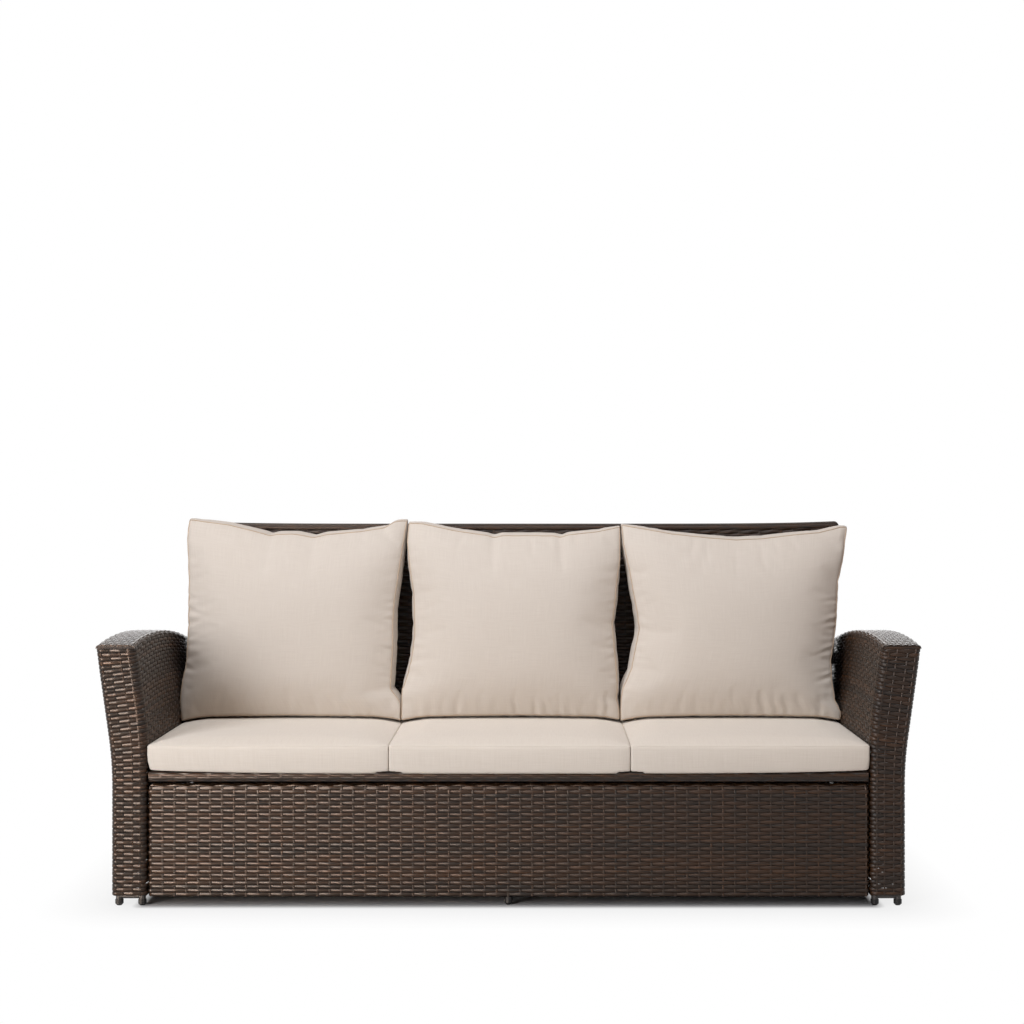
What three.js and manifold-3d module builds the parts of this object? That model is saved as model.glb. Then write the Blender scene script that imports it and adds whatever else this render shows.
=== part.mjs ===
// Three-seat garden sofa: two flared arms, a leaning back, a seat deck and a front skirt, each a
// welded steel-tube frame clad in woven resin wicker, bolted together and dressed with six loose
// cushions. Millimetres, +Z up, +X to the right seen from the front, the front facing -Y.
// While it is built, y = 0 is the arms' front face; the last lines centre the sofa on the origin.
import * as THREE from "three";
import { mergeVertices } from "three/addons/utils/BufferGeometryUtils.js";
import Module from "manifold-3d";

const wasm = await Module();
wasm.setup();

// Driving dimensions: the sofa as a whole.
const seatWidth = 1653; // between the arms' inner faces at seat level
const armBaseWidth = 76;
const armDepth = 720;
const armCrestHeight = 608.5;
const armCrestSetback = 245; // from the arm's front face to the crest of its domed top
const armTopRadius = 2480;
const flareRadius = 900; // the bend where an arm's side starts to lean out
const flareAngle = THREE.MathUtils.degToRad(8);
const outerFlareStart = 270;
const innerFlareStart = 330;
const backHeight = 864; // top of the back panel above the floor
const backTopWidth = 1688; // the back follows the arms' flare up to this width
const backLean = THREE.MathUtils.degToRad(10);
const backRoom = 143; // from the deck's rear edge to the arms' rear faces, for the leaning back
const deckHeight = 306;
const skirtSetback = 8;
const deckSetback = 5;
const seatDepth = armDepth - deckSetback - backRoom;

// Tube, wicker, brackets and the fits between them.
const armTube = 16;
const backTube = 20;
const skirtTube = 16;
const deckTube = 20;
const wickerWall = 3;
const deckWrap = 2.2; // a single layer of strand round the deck's rails
const fitGap = 0.3;
const bendGap = 0.7; // between a bent tube and the strand pulled over it
const panelGap = 4; // shadow gap between neighbouring panels
const bracketPlate = 4;
const bracketHeight = 30;
const bracketReach = 14; // plate beyond the bolt's centre
const overrun = 5; // how far a cutting tool runs past the face that it opens

// Cushions.
const seatPadThickness = 67;
const seatPadCrown = 8;
const backPadHeight = 490;
const backPadTopWidth = 564;
const padGap = 2;

// Heights of the cladding's lower edges and of the rails inside them.
const armHem = 23;
const armRailHeight = 23;
const skirtHem = 20;
const skirtRailHeight = 26;
const backHem = 24;
const backRailHeight = 32;
const glideHeight = 14;
const glideDiameter = 19;

const tubeSides = 10;
const bendSteps = 8;
const arcSegments = 4;
const leanShare = Math.tan(backLean);

// Solids, joined and cut as closed meshes.
function solidOf(geometry) {
  const bare = geometry.index ? geometry.toNonIndexed() : geometry.clone();
  for (const name of Object.keys(bare.attributes)) {
    if (name !== "position") bare.deleteAttribute(name);
  }
  const welded = mergeVertices(bare, 1e-4);
  return new wasm.Manifold(
    new wasm.Mesh({
      numProp: 3,
      vertProperties: new Float32Array(welded.attributes.position.array),
      triVerts: new Uint32Array(welded.index.array),
    }),
  );
}

function geometryOf(solid) {
  const mesh = solid.getMesh();
  const geometry = new THREE.BufferGeometry();
  geometry.setAttribute("position", new THREE.BufferAttribute(mesh.vertProperties, 3));
  geometry.setIndex(new THREE.BufferAttribute(mesh.triVerts, 1));
  geometry.computeVertexNormals();
  return geometry;
}

const join = (parts) => parts.reduce((whole, part) => whole.add(part));
const cut = (body, tools) => tools.reduce((rest, tool) => rest.subtract(tool), body);

// Prisms of an outline: XZ outlines run along Y, YZ outlines along X, XY outlines along Z.
function prism(shape, from, to, axes, edgeRadius = 0) {
  const geometry = new THREE.ExtrudeGeometry(shape, {
    depth: to - from - 2 * edgeRadius,
    curveSegments: arcSegments,
    bevelEnabled: edgeRadius > 0,
    bevelThickness: edgeRadius,
    bevelSize: edgeRadius,
    bevelOffset: -edgeRadius,
    bevelSegments: 2,
  });
  geometry.translate(0, 0, edgeRadius);
  return solidOf(geometry.applyMatrix4(axes(from, to)));
}

const yAxes = (from, to) =>
  new THREE.Matrix4().makeRotationX(Math.PI / 2).setPosition(0, to, 0);
const xAxes = (from) =>
  new THREE.Matrix4()
    .makeBasis(new THREE.Vector3(0, 1, 0), new THREE.Vector3(0, 0, 1), new THREE.Vector3(1, 0, 0))
    .setPosition(from, 0, 0);
const alongY = (shape, from, to, edgeRadius) => prism(shape, from, to, yAxes, edgeRadius);
const alongX = (shape, from, to) => prism(shape, from, to, xAxes);

function block(x, y, z) {
  const geometry = new THREE.BoxGeometry(x[1] - x[0], y[1] - y[0], z[1] - z[0]);
  geometry.translate((x[0] + x[1]) / 2, (y[0] + y[1]) / 2, (z[0] + z[1]) / 2);
  return solidOf(geometry);
}

// A straight round bar or hole between two points.
function bar(from, to, diameter, sides = tubeSides) {
  const start = new THREE.Vector3(...from);
  const run = new THREE.Vector3(...to).sub(start);
  const geometry = new THREE.CylinderGeometry(diameter / 2, diameter / 2, run.length(), sides);
  geometry.translate(0, run.length() / 2, 0);
  const turn = new THREE.Quaternion().setFromUnitVectors(
    new THREE.Vector3(0, 1, 0),
    run.clone().normalize(),
  );
  geometry.applyQuaternion(turn);
  geometry.translate(start.x, start.y, start.z);
  return solidOf(geometry);
}

// A round tube bent along a formula that gives its centre for a share from 0 to 1.
function bentBar(centreAt, diameter, steps = bendSteps) {
  class Bend extends THREE.Curve {
    getPoint(share, target = new THREE.Vector3()) {
      return target.set(...centreAt(share));
    }
  }
  const ring = new THREE.Shape();
  ring.absarc(0, 0, diameter / 2, 0, 2 * Math.PI);
  return solidOf(
    new THREE.ExtrudeGeometry(ring, {
      steps,
      curveSegments: tubeSides / 2,
      extrudePath: new Bend(),
    }),
  );
}

const between = (low, high, share) => low + (high - low) * share;

// The two sides of an arm: upright, then a wide bend, then straight and leaning out.
const armInner = seatWidth / 2;
const armOuter = armInner + armBaseWidth;

// How far a side has leaned out at a height; an inset gives the parallel line inside it.
function flare(height, start, inset) {
  const radius = flareRadius - inset;
  const rise = Math.max(0, height - start);
  const bendRise = radius * Math.sin(flareAngle);
  const bend = Math.asin(Math.min(rise, bendRise) / radius);
  const straight = Math.max(0, rise - bendRise) * Math.tan(flareAngle);
  return flareRadius - radius * Math.cos(bend) + straight;
}

const innerFace = (height, inset = 0) => armInner + flare(height, innerFlareStart, inset);
const outerFace = (height, inset = 0) => armOuter + flare(height, outerFlareStart, -inset);

// The domed top of an arm, lowered by an inset.
function armTop(y, inset = 0) {
  const radius = armTopRadius - inset;
  const setback = y - armCrestSetback;
  return armCrestHeight - armTopRadius + Math.sqrt(radius * radius - setback * setback);
}

// Front view of an arm, its faces moved in by an inset, open-ended above and below.
function armFrontOutline(inset, bottom, top) {
  const outline = new THREE.Shape();
  const innerRadius = flareRadius - inset;
  const outerRadius = flareRadius + inset;
  const innerBend = [armInner + flareRadius, innerFlareStart];
  const outerBend = [armOuter + flareRadius, outerFlareStart];
  const leanOut = (bend, radius) =>
    bend[0] -
    radius * Math.cos(flareAngle) +
    (top - bend[1] - radius * Math.sin(flareAngle)) * Math.tan(flareAngle);
  outline.moveTo(armInner + inset, bottom);
  outline.lineTo(armOuter - inset, bottom);
  outline.absarc(...outerBend, outerRadius, Math.PI, Math.PI - flareAngle, true);
  outline.lineTo(leanOut(outerBend, outerRadius), top);
  outline.lineTo(leanOut(innerBend, innerRadius), top);
  outline.absarc(...innerBend, innerRadius, Math.PI - flareAngle, Math.PI, false);
  return outline;
}

// Side view of an arm, moved in by an inset: a long dome with eased ends.
const armTopEase = 12;

function armSideOutline(inset, bottom) {
  const outline = new THREE.Shape();
  const front = inset;
  const rear = armDepth - inset;
  const ease = armTopEase - inset;
  const radius = armTopRadius - inset;
  const centreHeight = armCrestHeight - armTopRadius;
  const angleAt = (y) => Math.acos((y - armCrestSetback) / radius);
  outline.moveTo(front, bottom);
  outline.lineTo(rear, bottom);
  outline.lineTo(rear, armTop(rear, inset) - ease);
  outline.quadraticCurveTo(rear, armTop(rear, inset), rear - ease, armTop(rear - ease, inset));
  outline.absarc(
    armCrestSetback,
    centreHeight,
    radius,
    angleAt(rear - ease),
    angleAt(front + ease),
    false,
  );
  outline.quadraticCurveTo(front, armTop(front, inset), front, armTop(front, inset) - ease);
  return outline;
}

// The solid that an arm's faces enclose once they are moved in by an inset.
const armEdgeRadius = 8;
const armOutlineTop = armCrestHeight + overrun;

function armForm(inset, bottom, edgeRadius) {
  const frontView = armFrontOutline(inset, bottom - 2 * armEdgeRadius, armOutlineTop);
  const sideView = armSideOutline(inset, bottom);
  const faces = alongY(frontView, inset, armDepth - inset, edgeRadius);
  const farSide = outerFace(armOutlineTop) + overrun;
  return faces.intersect(alongX(sideView, armInner - overrun, farSide));
}

// The back panel's own frame: x across, y through its thickness and z up the slope, from a point
// on its centre plane at floor level.
const backThickness = backTube + 2 * (wickerWall + bendGap);
const backSlope = 1 / Math.cos(backLean);
const deckBottom = deckHeight - deckTube - 2 * (deckWrap + fitGap);
const backFaceAtDeck = deckSetback + seatDepth + panelGap;
const backFootSetback = backFaceAtDeck + (backThickness / 2) * backSlope - deckBottom * leanShare;
const backFaceAt = (height) => backFaceAtDeck + (height - deckBottom) * leanShare;
const backPlace = new THREE.Matrix4()
  .makeRotationX(-backLean)
  .setPosition(0, backFootSetback, 0);
const upSlope = (height) => height * backSlope;
const backTop = upSlope(backHeight) - (backThickness / 2) * leanShare;
const inPlace = (solid, matrix) => solidOf(geometryOf(solid).applyMatrix4(matrix));

// Half the back panel's width at a height above the floor; its ends follow the arms' inner faces
// until they reach the width of the top rail.
const backHalf = (height) => Math.min(innerFace(height) - panelGap, backTopWidth / 2);
const bendTop = innerFlareStart + flareRadius * Math.sin(flareAngle);
const backUprightFrom =
  bendTop + (backTopWidth / 2 + panelGap - innerFace(bendTop)) / Math.tan(flareAngle);

// Where the brackets and bolts go.
const boltDiameter = 6;
const boltHoleDiameter = boltDiameter + 2 * fitGap;
const boltHeadDiameter = 13;
const boltHeadHeight = 5;
const boltSocketWidth = 5;
const boltSocketDepth = 2.6;
const boltLength = 20;
const boltSides = 10;
const boltCrownShares = { width: 0.62, height: 0.4 }; // the flat of the head, and its rim
const socketSides = 6;
const skirtBoltShares = [0.27, 0.77]; // of the skirt's height
const backBoltShares = [0.17, 0.58, 0.915]; // of the height of the arms' rear ends
const deckBoltShares = [0.165, 0.82]; // of the arms' depth in front of the back

// Brackets stick out of an arm's inner face into the space behind the panel that they hold.
const skirtThickness = skirtTube + 2 * (wickerWall + bendGap);
const panelHalf = armInner - panelGap;
const skirtBack = skirtSetback + skirtThickness;
const skirtPostX = panelHalf - wickerWall - bendGap - skirtTube / 2;
const skirtTop = deckBottom - panelGap;
const skirtBoltHeights = skirtBoltShares.map((share) => share * skirtTop);
const backBoltHeights = backBoltShares.map((share) => share * armTop(armDepth));
const deckBoltSetbacks = deckBoltShares.map((share) => share * backFaceAtDeck);
const deckRailX = panelHalf - deckWrap - fitGap - deckTube / 2;
const tubeInset = wickerWall + bendGap + armTube / 2;
const armPostX = armInner + tubeInset;
const backPostInset = wickerWall + bendGap + backTube / 2;
const bracketFace = fitGap; // between a bracket and the panel it holds
const slotClearance = 0.5;

const grow = (range, by) => [range[0] - by, range[1] + by];

// A skirt bracket is an angle: one leg along the arm's front post, the other behind the skirt.
function skirtBracket(height, clearance = 0) {
  const z = grow([height - bracketHeight / 2, height + bracketHeight / 2], clearance);
  const plateY = grow([skirtBack + bracketFace, skirtBack + bracketFace + bracketPlate], clearance);
  const legX = [armInner + wickerWall + fitGap, armInner + wickerWall + fitGap + bracketPlate];
  const plate = block([skirtPostX - bracketReach, legX[1]], plateY, z);
  const leg = block(legX, [tubeInset, plateY[1]], z);
  return clearance ? plate : plate.add(leg);
}

// A deck bracket is a flat ledge under the seat frame's side rail.
const ledgeTop = deckBottom - fitGap;
const ledgeRailHeight = ledgeTop - bracketPlate / 2 - armTube / 4;

function deckLedge(setback, clearance = 0) {
  const y = grow([setback - bracketHeight / 2, setback + bracketHeight / 2], clearance);
  const z = grow([ledgeTop - bracketPlate, ledgeTop], clearance);
  return block([deckRailX - bracketReach, armPostX], y, z);
}

// A back bracket is a flat ear lying along the back panel's rear face.
const earNear = backThickness / 2 + bracketFace;
const earCentre = earNear + bracketPlate / 2;

function backEar(height, clearance = 0) {
  const boltX = backHalf(height) - backPostInset;
  const x = [boltX - bracketReach, innerFace(height) + tubeInset];
  const y = grow([earNear, earNear + bracketPlate], clearance);
  const middle = upSlope(height);
  const z = grow([middle - bracketHeight / 2, middle + bracketHeight / 2], clearance);
  return inPlace(block(x, y, z), backPlace);
}

// The three bolt directions: along +Y into the skirt's frame from behind, up into the seat frame,
// and forwards and down the slope's normal into the back frame from behind.
const skirtBoltY = skirtBack + bracketFace + bracketPlate;
const skirtBoltPlaces = skirtBoltHeights.map((height) => ({
  head: [skirtPostX, skirtBoltY, height],
  along: new THREE.Vector3(0, -1, 0),
}));
const deckBoltPlaces = deckBoltSetbacks.map((setback) => ({
  head: [deckRailX, setback, ledgeTop - bracketPlate],
  along: new THREE.Vector3(0, 0, 1),
}));
const backBoltPlaces = backBoltHeights.map((height) => ({
  head: new THREE.Vector3(
    backHalf(height) - backPostInset,
    earNear + bracketPlate,
    upSlope(height),
  )
    .applyMatrix4(backPlace)
    .toArray(),
  along: new THREE.Vector3(0, -1, 0).transformDirection(backPlace),
}));

// The centre leg stands under the middle of the seat and is bolted up through its top plate.
const legSetbackShare = 0.52;
const legSetback = legSetbackShare * backFaceAtDeck;
const legBoltSpread = 32;
const legPlateTop = deckBottom + deckWrap;
const legBoltPlaces = [-legBoltSpread, legBoltSpread].map((offset) => ({
  head: [0, legSetback + offset, legPlateTop - bracketPlate],
  along: new THREE.Vector3(0, 0, 1),
}));

// The hole that a bolt needs: a clearance hole round its shank, a little deeper than its tip.
function boltHole({ head, along }) {
  const start = new THREE.Vector3(...head).addScaledVector(along, -overrun);
  const end = new THREE.Vector3(...head).addScaledVector(along, boltLength + 2 * fitGap);
  return bar(start.toArray(), end.toArray(), boltHoleDiameter, boltSides);
}

// A button-head bolt with a hexagon socket, its head's underside at z = 0 and its shank upwards.
function boltSolid() {
  const headRadius = boltHeadDiameter / 2;
  const crown = [
    [0, -boltHeadHeight],
    [headRadius * boltCrownShares.width, -boltHeadHeight],
    [headRadius, -boltHeadHeight * boltCrownShares.height],
    [headRadius, -fitGap],
    [boltDiameter / 2, -fitGap],
    [boltDiameter / 2, boltLength],
    [0, boltLength],
  ];
  const profile = crown.map(([radius, height]) => new THREE.Vector2(radius, height));
  const turned = new THREE.LatheGeometry(profile, boltSides).rotateX(Math.PI / 2);
  const socket = bar(
    [0, 0, -boltHeadHeight - overrun],
    [0, 0, boltSocketDepth - boltHeadHeight],
    boltSocketWidth,
    socketSides,
  );
  return solidOf(turned).subtract(socket);
}

// Materials, as the sofa's colours read in daylight.
const finish = (color, roughness, metalness) =>
  new THREE.MeshStandardMaterial({ color, roughness, metalness });
const wicker = finish(0x4a3a30, 0.55, 0);
const powderCoat = finish(0x2b2522, 0.5, 0.2);
const canvas = finish(0xd9ccbd, 0.9, 0);
const glidePlastic = finish(0x17150f, 0.6, 0);
const zincSteel = finish(0xa7a9ab, 0.35, 0.9);

function piece(name, solidOrGeometry, material) {
  const geometry = solidOrGeometry.isBufferGeometry
    ? solidOrGeometry
    : geometryOf(solidOrGeometry);
  const mesh = new THREE.Mesh(geometry, material);
  mesh.name = name;
  return mesh;
}

// Glide: a plastic foot with a plug that is pushed up into a tube's open end.
const plugDiameter = 11;
const plugDepth = 20;
const plugEase = 1.5;
const boreDiameter = plugDiameter + 2 * fitGap;
const glideEase = 4;

function glideGeometry(height, diameter) {
  const profile = [
    [0, 0],
    [diameter / 2 - glideEase, 0],
    [diameter / 2, glideEase],
    [diameter / 2, height - fitGap],
    [plugDiameter / 2, height - fitGap],
    [plugDiameter / 2, height + plugDepth - plugEase],
    [plugDiameter / 2 - plugEase, height + plugDepth],
    [0, height + plugDepth],
  ].map(([radius, z]) => new THREE.Vector2(radius, z));
  return new THREE.LatheGeometry(profile, tubeSides).rotateX(Math.PI / 2);
}

const glideBore = (x, y, bottom) =>
  bar([x, y, bottom - overrun], [x, y, bottom + plugDepth + fitGap], boreDiameter);

// Arm frame: five bent posts, two domed top rails, base rails, a ledge rail and cross spacers.
const postSetbacks = [tubeInset, armDepth - tubeInset];
const railTop = (y) => armTop(y, tubeInset);
const earPostSetback = (height) => backFootSetback + height * leanShare + earCentre * backSlope;

function armPost(face, setback, bottom) {
  const top = railTop(setback);
  return bentBar((share) => {
    const z = between(bottom, top, share);
    return [face(z, tubeInset), setback, z];
  }, armTube);
}

function armTopRail(face) {
  return bentBar((share) => {
    const y = between(...postSetbacks, share);
    const z = railTop(y);
    return [face(z, tubeInset), y, z];
  }, armTube);
}

function armFrameSolid() {
  const outerX = armOuter - tubeInset;
  const feet = postSetbacks.flatMap((y) => [
    [armPostX, y],
    [outerX, y],
  ]);
  const posts = postSetbacks.flatMap((y) => [
    armPost(innerFace, y, glideHeight),
    armPost(outerFace, y, glideHeight),
  ]);
  const earTop = railTop(earPostSetback(railTop(armDepth)));
  const earPost = bentBar((share) => {
    const z = between(armRailHeight, earTop, share);
    return [innerFace(z, tubeInset), earPostSetback(z), z];
  }, armTube);
  const baseRails = [armPostX, outerX].map((x) =>
    bar([x, postSetbacks[0], armRailHeight], [x, postSetbacks[1], armRailHeight], armTube),
  );
  const ledgeRail = bar(
    [armPostX, postSetbacks[0], ledgeRailHeight],
    [armPostX, postSetbacks[1], ledgeRailHeight],
    armTube,
  );
  const spacers = postSetbacks.flatMap((y) =>
    [armRailHeight, ledgeRailHeight, railTop(y)].map((z) =>
      bar([innerFace(z, tubeInset), y, z], [outerFace(z, tubeInset), y, z], armTube),
    ),
  );
  const brackets = [
    ...skirtBoltHeights.map((height) => skirtBracket(height)),
    ...deckBoltSetbacks.map((setback) => deckLedge(setback)),
    ...backBoltHeights.map((height) => backEar(height)),
  ];
  const welded = join([
    ...posts,
    earPost,
    ...baseRails,
    ledgeRail,
    ...spacers,
    armTopRail(innerFace),
    armTopRail(outerFace),
    ...brackets,
  ]);
  const holes = [...skirtBoltPlaces, ...deckBoltPlaces, ...backBoltPlaces].map(boltHole);
  const bores = feet.map(([x, y]) => glideBore(x, y, glideHeight));
  return cut(welded, [...holes, ...bores]);
}

// Arm cladding: a shell of woven strand, open underneath, with slots where the brackets come out.
function armWickerSolid() {
  const shell = armForm(0, armHem, armEdgeRadius).subtract(armForm(wickerWall, armHem - overrun, 0));
  const slots = [
    ...skirtBoltHeights.map((height) => skirtBracket(height, slotClearance)),
    ...deckBoltSetbacks.map((setback) => deckLedge(setback, slotClearance)),
    ...backBoltHeights.map((height) => backEar(height, slotClearance)),
  ];
  return cut(shell, slots);
}

function arm(side) {
  const group = new THREE.Group();
  const frame = piece(`${side}_arm_frame`, armFrameSolid(), powderCoat);
  const cladding = piece(`${side}_arm_wicker`, armWickerSolid(), wicker);
  group.add(frame, cladding);
  const feet = { front: postSetbacks[0], rear: postSetbacks[1] };
  const edges = { inner: armPostX, outer: armOuter - tubeInset };
  for (const [end, y] of Object.entries(feet)) {
    for (const [edge, x] of Object.entries(edges)) {
      const geometry = glideGeometry(glideHeight, glideDiameter);
      const glide = piece(`${side}_arm_glide_${end}_${edge}`, geometry, glidePlastic);
      glide.position.set(x, y, 0);
      group.add(glide);
    }
  }
  if (side === "left") group.scale.x = -1;
  return group;
}

// A flat panel's cladding: a box with an eased top edge, open along the bottom. Its front view is
// an outline in x and z, its depth runs from 0 to the panel's thickness.
const panelEase = 9;

function panelSideOutline(inset, thickness, bottom, top) {
  const outline = new THREE.Shape();
  const low = inset;
  const high = thickness - inset;
  const peak = top - inset;
  const ease = panelEase - inset;
  outline.moveTo(low, bottom);
  outline.lineTo(high, bottom);
  outline.lineTo(high, peak - ease);
  outline.quadraticCurveTo(high, peak, high - ease, peak);
  outline.lineTo(low + ease, peak);
  outline.quadraticCurveTo(low, peak, low, peak - ease);
  return outline;
}

// Front view of a panel whose half-width follows a formula of the height, with eased top corners.
const panelCornerEase = 12;
const outlineSteps = 12;

function panelFrontOutline(halfAt, bottom, top, inset, kinks) {
  const peak = top - inset;
  const ease = panelCornerEase - inset;
  const shoulder = peak - ease;
  const even = Array.from({ length: outlineSteps }, (_, i) => between(bottom, shoulder, i / outlineSteps));
  const levels = [...(kinks.length ? even : [bottom]), ...kinks].filter((z) => z < shoulder);
  const side = levels.sort((a, b) => a - b).map((z) => [halfAt(z) - inset, z]);
  const outline = new THREE.Shape();
  outline.moveTo(-side[0][0], side[0][1]);
  for (const [x, z] of side) outline.lineTo(x, z);
  outline.lineTo(halfAt(shoulder) - inset, shoulder);
  outline.quadraticCurveTo(halfAt(peak) - inset, peak, halfAt(peak) - inset - ease, peak);
  outline.lineTo(-halfAt(peak) + inset + ease, peak);
  outline.quadraticCurveTo(-halfAt(peak) + inset, peak, -halfAt(shoulder) + inset, shoulder);
  for (const [x, z] of side.slice(1).reverse()) outline.lineTo(-x, z);
  return outline;
}

function panelWicker(halfAt, thickness, hem, top, kinks = []) {
  const form = (inset, bottom) => {
    const sideView = panelSideOutline(inset, thickness, bottom, top);
    const frontView = panelFrontOutline(halfAt, bottom, top, inset, kinks);
    const reach = halfAt(top) + overrun;
    return alongX(sideView, -reach, reach).intersect(alongY(frontView, -overrun, thickness + overrun));
  };
  return form(0, hem).subtract(form(wickerWall, hem - overrun));
}

// A flat panel's frame: top and bottom rails, end posts and evenly spaced uprights, welded.
function panelFrame({ halfAt, centreY, railLow, railHigh, tube, uprightXs, midRails = [] }) {
  const endX = (z) => halfAt(z) - wickerWall - bendGap - tube / 2;
  const rail = (z) => bar([-endX(z), centreY, z], [endX(z), centreY, z], tube);
  const endPost = (sign) =>
    bentBar((share) => {
      const z = between(railLow, railHigh, share);
      return [sign * endX(z), centreY, z];
    }, tube);
  const uprights = uprightXs.map((x) => bar([x, centreY, railLow], [x, centreY, railHigh], tube));
  return join([rail(railLow), rail(railHigh), endPost(1), endPost(-1), ...uprights, ...midRails.map(rail)]);
}

// Both panels are held at each end, so every bolt place has a mirror image.
const mirrored = ({ head, along }) => ({
  head: [-head[0], head[1], head[2]],
  along: new THREE.Vector3(-along.x, along.y, along.z),
});
const bothSides = (places) => [...places, ...places.map(mirrored)];

// Front skirt: an upright panel between the arms, below the deck, with a foot at its middle.
const skirtUprights = 3;
const skirtCentreY = skirtSetback + skirtThickness / 2;

function skirt() {
  const group = new THREE.Group();
  const halfAt = () => panelHalf;
  const cladding = panelWicker(halfAt, skirtThickness, skirtHem, skirtTop);
  const spacing = (2 * skirtPostX) / (skirtUprights + 1);
  const uprightXs = Array.from({ length: skirtUprights }, (_, i) => (i + 1) * spacing - skirtPostX);
  const railHigh = skirtTop - wickerWall - fitGap - skirtTube / 2;
  const frame = panelFrame({
    halfAt,
    centreY: skirtCentreY,
    railLow: skirtRailHeight,
    railHigh,
    tube: skirtTube,
    uprightXs,
  });
  const footHeight = skirtRailHeight - skirtTube / 2;
  const holes = bothSides(skirtBoltPlaces).map(boltHole);
  const bored = cut(frame, [...holes, glideBore(0, skirtCentreY, footHeight)]);
  const claddingHoles = bothSides(skirtBoltPlaces).map(boltHole);
  const placed = cut(inPlace(cladding, new THREE.Matrix4().setPosition(0, skirtSetback, 0)), claddingHoles);
  const glide = piece("skirt_centre_glide", glideGeometry(footHeight, glideDiameter), glidePlastic);
  glide.position.set(0, skirtCentreY, 0);
  group.add(piece("skirt_frame", bored, powderCoat), piece("skirt_wicker", placed, wicker), glide);
  return group;
}

// Back: the same kind of panel, taller, leaning, and flared at its ends with the arms.
const backUprights = 3;
const backMidRailHeight = 330;
const backGlideSetback = backFootSetback + backRailHeight * leanShare;

function back() {
  const group = new THREE.Group();
  const halfAt = (z) => backHalf(z / backSlope);
  const shift = new THREE.Matrix4().setPosition(0, -backThickness / 2, 0);
  const claddingSolid = inPlace(
    panelWicker(halfAt, backThickness, upSlope(backHem), backTop, [upSlope(backUprightFrom)]),
    new THREE.Matrix4().multiplyMatrices(backPlace, shift),
  );
  const postX = backHalf(0) - backPostInset;
  const spacing = (2 * postX) / (backUprights + 1);
  const uprightXs = Array.from({ length: backUprights }, (_, i) => (i + 1) * spacing - postX);
  const frameSolid = inPlace(
    panelFrame({
      halfAt,
      centreY: 0,
      railLow: upSlope(backRailHeight),
      railHigh: backTop - backPostInset,
      tube: backTube,
      uprightXs,
      midRails: [upSlope(backMidRailHeight)],
    }),
    backPlace,
  );
  const holes = bothSides(backBoltPlaces).map(boltHole);
  const footHeight = backRailHeight - backTube / 2;
  const bore = glideBore(0, backGlideSetback, footHeight);
  const glide = piece("back_centre_glide", glideGeometry(footHeight, glideDiameter), glidePlastic);
  glide.position.set(0, backGlideSetback, 0);
  group.add(
    piece("back_frame", cut(frameSolid, [...holes, bore]), powderCoat),
    piece("back_wicker", cut(claddingSolid, holes), wicker),
    glide,
  );
  return group;
}

// Seat deck: a frame of square tube with bearers close together, wrapped in woven strand whose
// edges are turned in under the rails.
const bearerCount = 9;
const deckLip = 27;
const deckEase = 6;
const deckBack = deckSetback + seatDepth;

function deckOutline(inset) {
  const outline = new THREE.Shape();
  const front = deckSetback + inset;
  const rear = deckBack - inset;
  const low = deckBottom + inset;
  const high = deckHeight - inset;
  const ease = deckEase - inset;
  outline.moveTo(front + ease, low);
  outline.lineTo(rear, low);
  outline.lineTo(rear, high);
  outline.lineTo(front + ease, high);
  outline.quadraticCurveTo(front, high, front, high - ease);
  outline.lineTo(front, low + ease);
  outline.quadraticCurveTo(front, low, front + ease, low);
  return outline;
}

function seat() {
  const group = new THREE.Group();
  const inset = deckWrap + fitGap;
  const x = [-panelHalf + inset, panelHalf - inset];
  const y = [deckSetback + inset, deckBack - inset];
  const z = [deckBottom + inset, deckHeight - inset];
  const outer = alongX(deckOutline(inset), ...x);
  const windowX = grow(x, -deckTube);
  const windowY = grow(y, -deckTube);
  const rails = outer.subtract(block(windowX, windowY, grow(z, overrun)));
  const pitch = (windowX[1] - windowX[0]) / (bearerCount + 1);
  const bearers = Array.from({ length: bearerCount }, (_, i) => {
    const centre = windowX[0] + (i + 1) * pitch;
    const width = [centre - deckTube / 2, centre + deckTube / 2];
    return block(width, grow(windowY, deckTube / 2), z);
  });
  const holes = bothSides(deckBoltPlaces).map(boltHole);
  const frame = cut(join([rails, ...bearers]), [...holes, ...legBoltPlaces.map(boltHole)]);
  const wrapInner = alongX(deckOutline(deckWrap), -panelHalf + deckWrap, panelHalf - deckWrap);
  const hollow = block(
    grow([-panelHalf, panelHalf], -deckLip),
    grow([deckSetback, deckBack], -deckLip),
    [deckBottom - overrun, deckBottom + inset],
  );
  const wrap = alongX(deckOutline(0), -panelHalf, panelHalf).subtract(wrapInner).subtract(hollow);
  group.add(
    piece("seat_frame", frame, powderCoat),
    piece("seat_deck_wicker", cut(wrap, holes), wicker),
    ...centreLeg(),
  );
  return group;
}

// Centre leg: a short post with a top plate that is bolted up into the middle bearer.
const legPlateHalfWidth = 20;

function centreLeg() {
  const plateDepth = [legSetback - legBoltSpread, legSetback + legBoltSpread];
  const plate = block(
    [-legPlateHalfWidth, legPlateHalfWidth],
    grow(plateDepth, bracketReach),
    [legPlateTop - bracketPlate, legPlateTop],
  );
  const postTop = legPlateTop - bracketPlate / 2;
  const post = bar([0, legSetback, glideHeight], [0, legSetback, postTop], backTube);
  const bore = glideBore(0, legSetback, glideHeight);
  const leg = cut(plate.add(post), [...legBoltPlaces.map(boltHole), bore]);
  const glide = piece("centre_leg_glide", glideGeometry(glideHeight, glideDiameter), glidePlastic);
  glide.position.set(0, legSetback, 0);
  return [piece("centre_leg", leg, powderCoat), glide];
}

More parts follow.
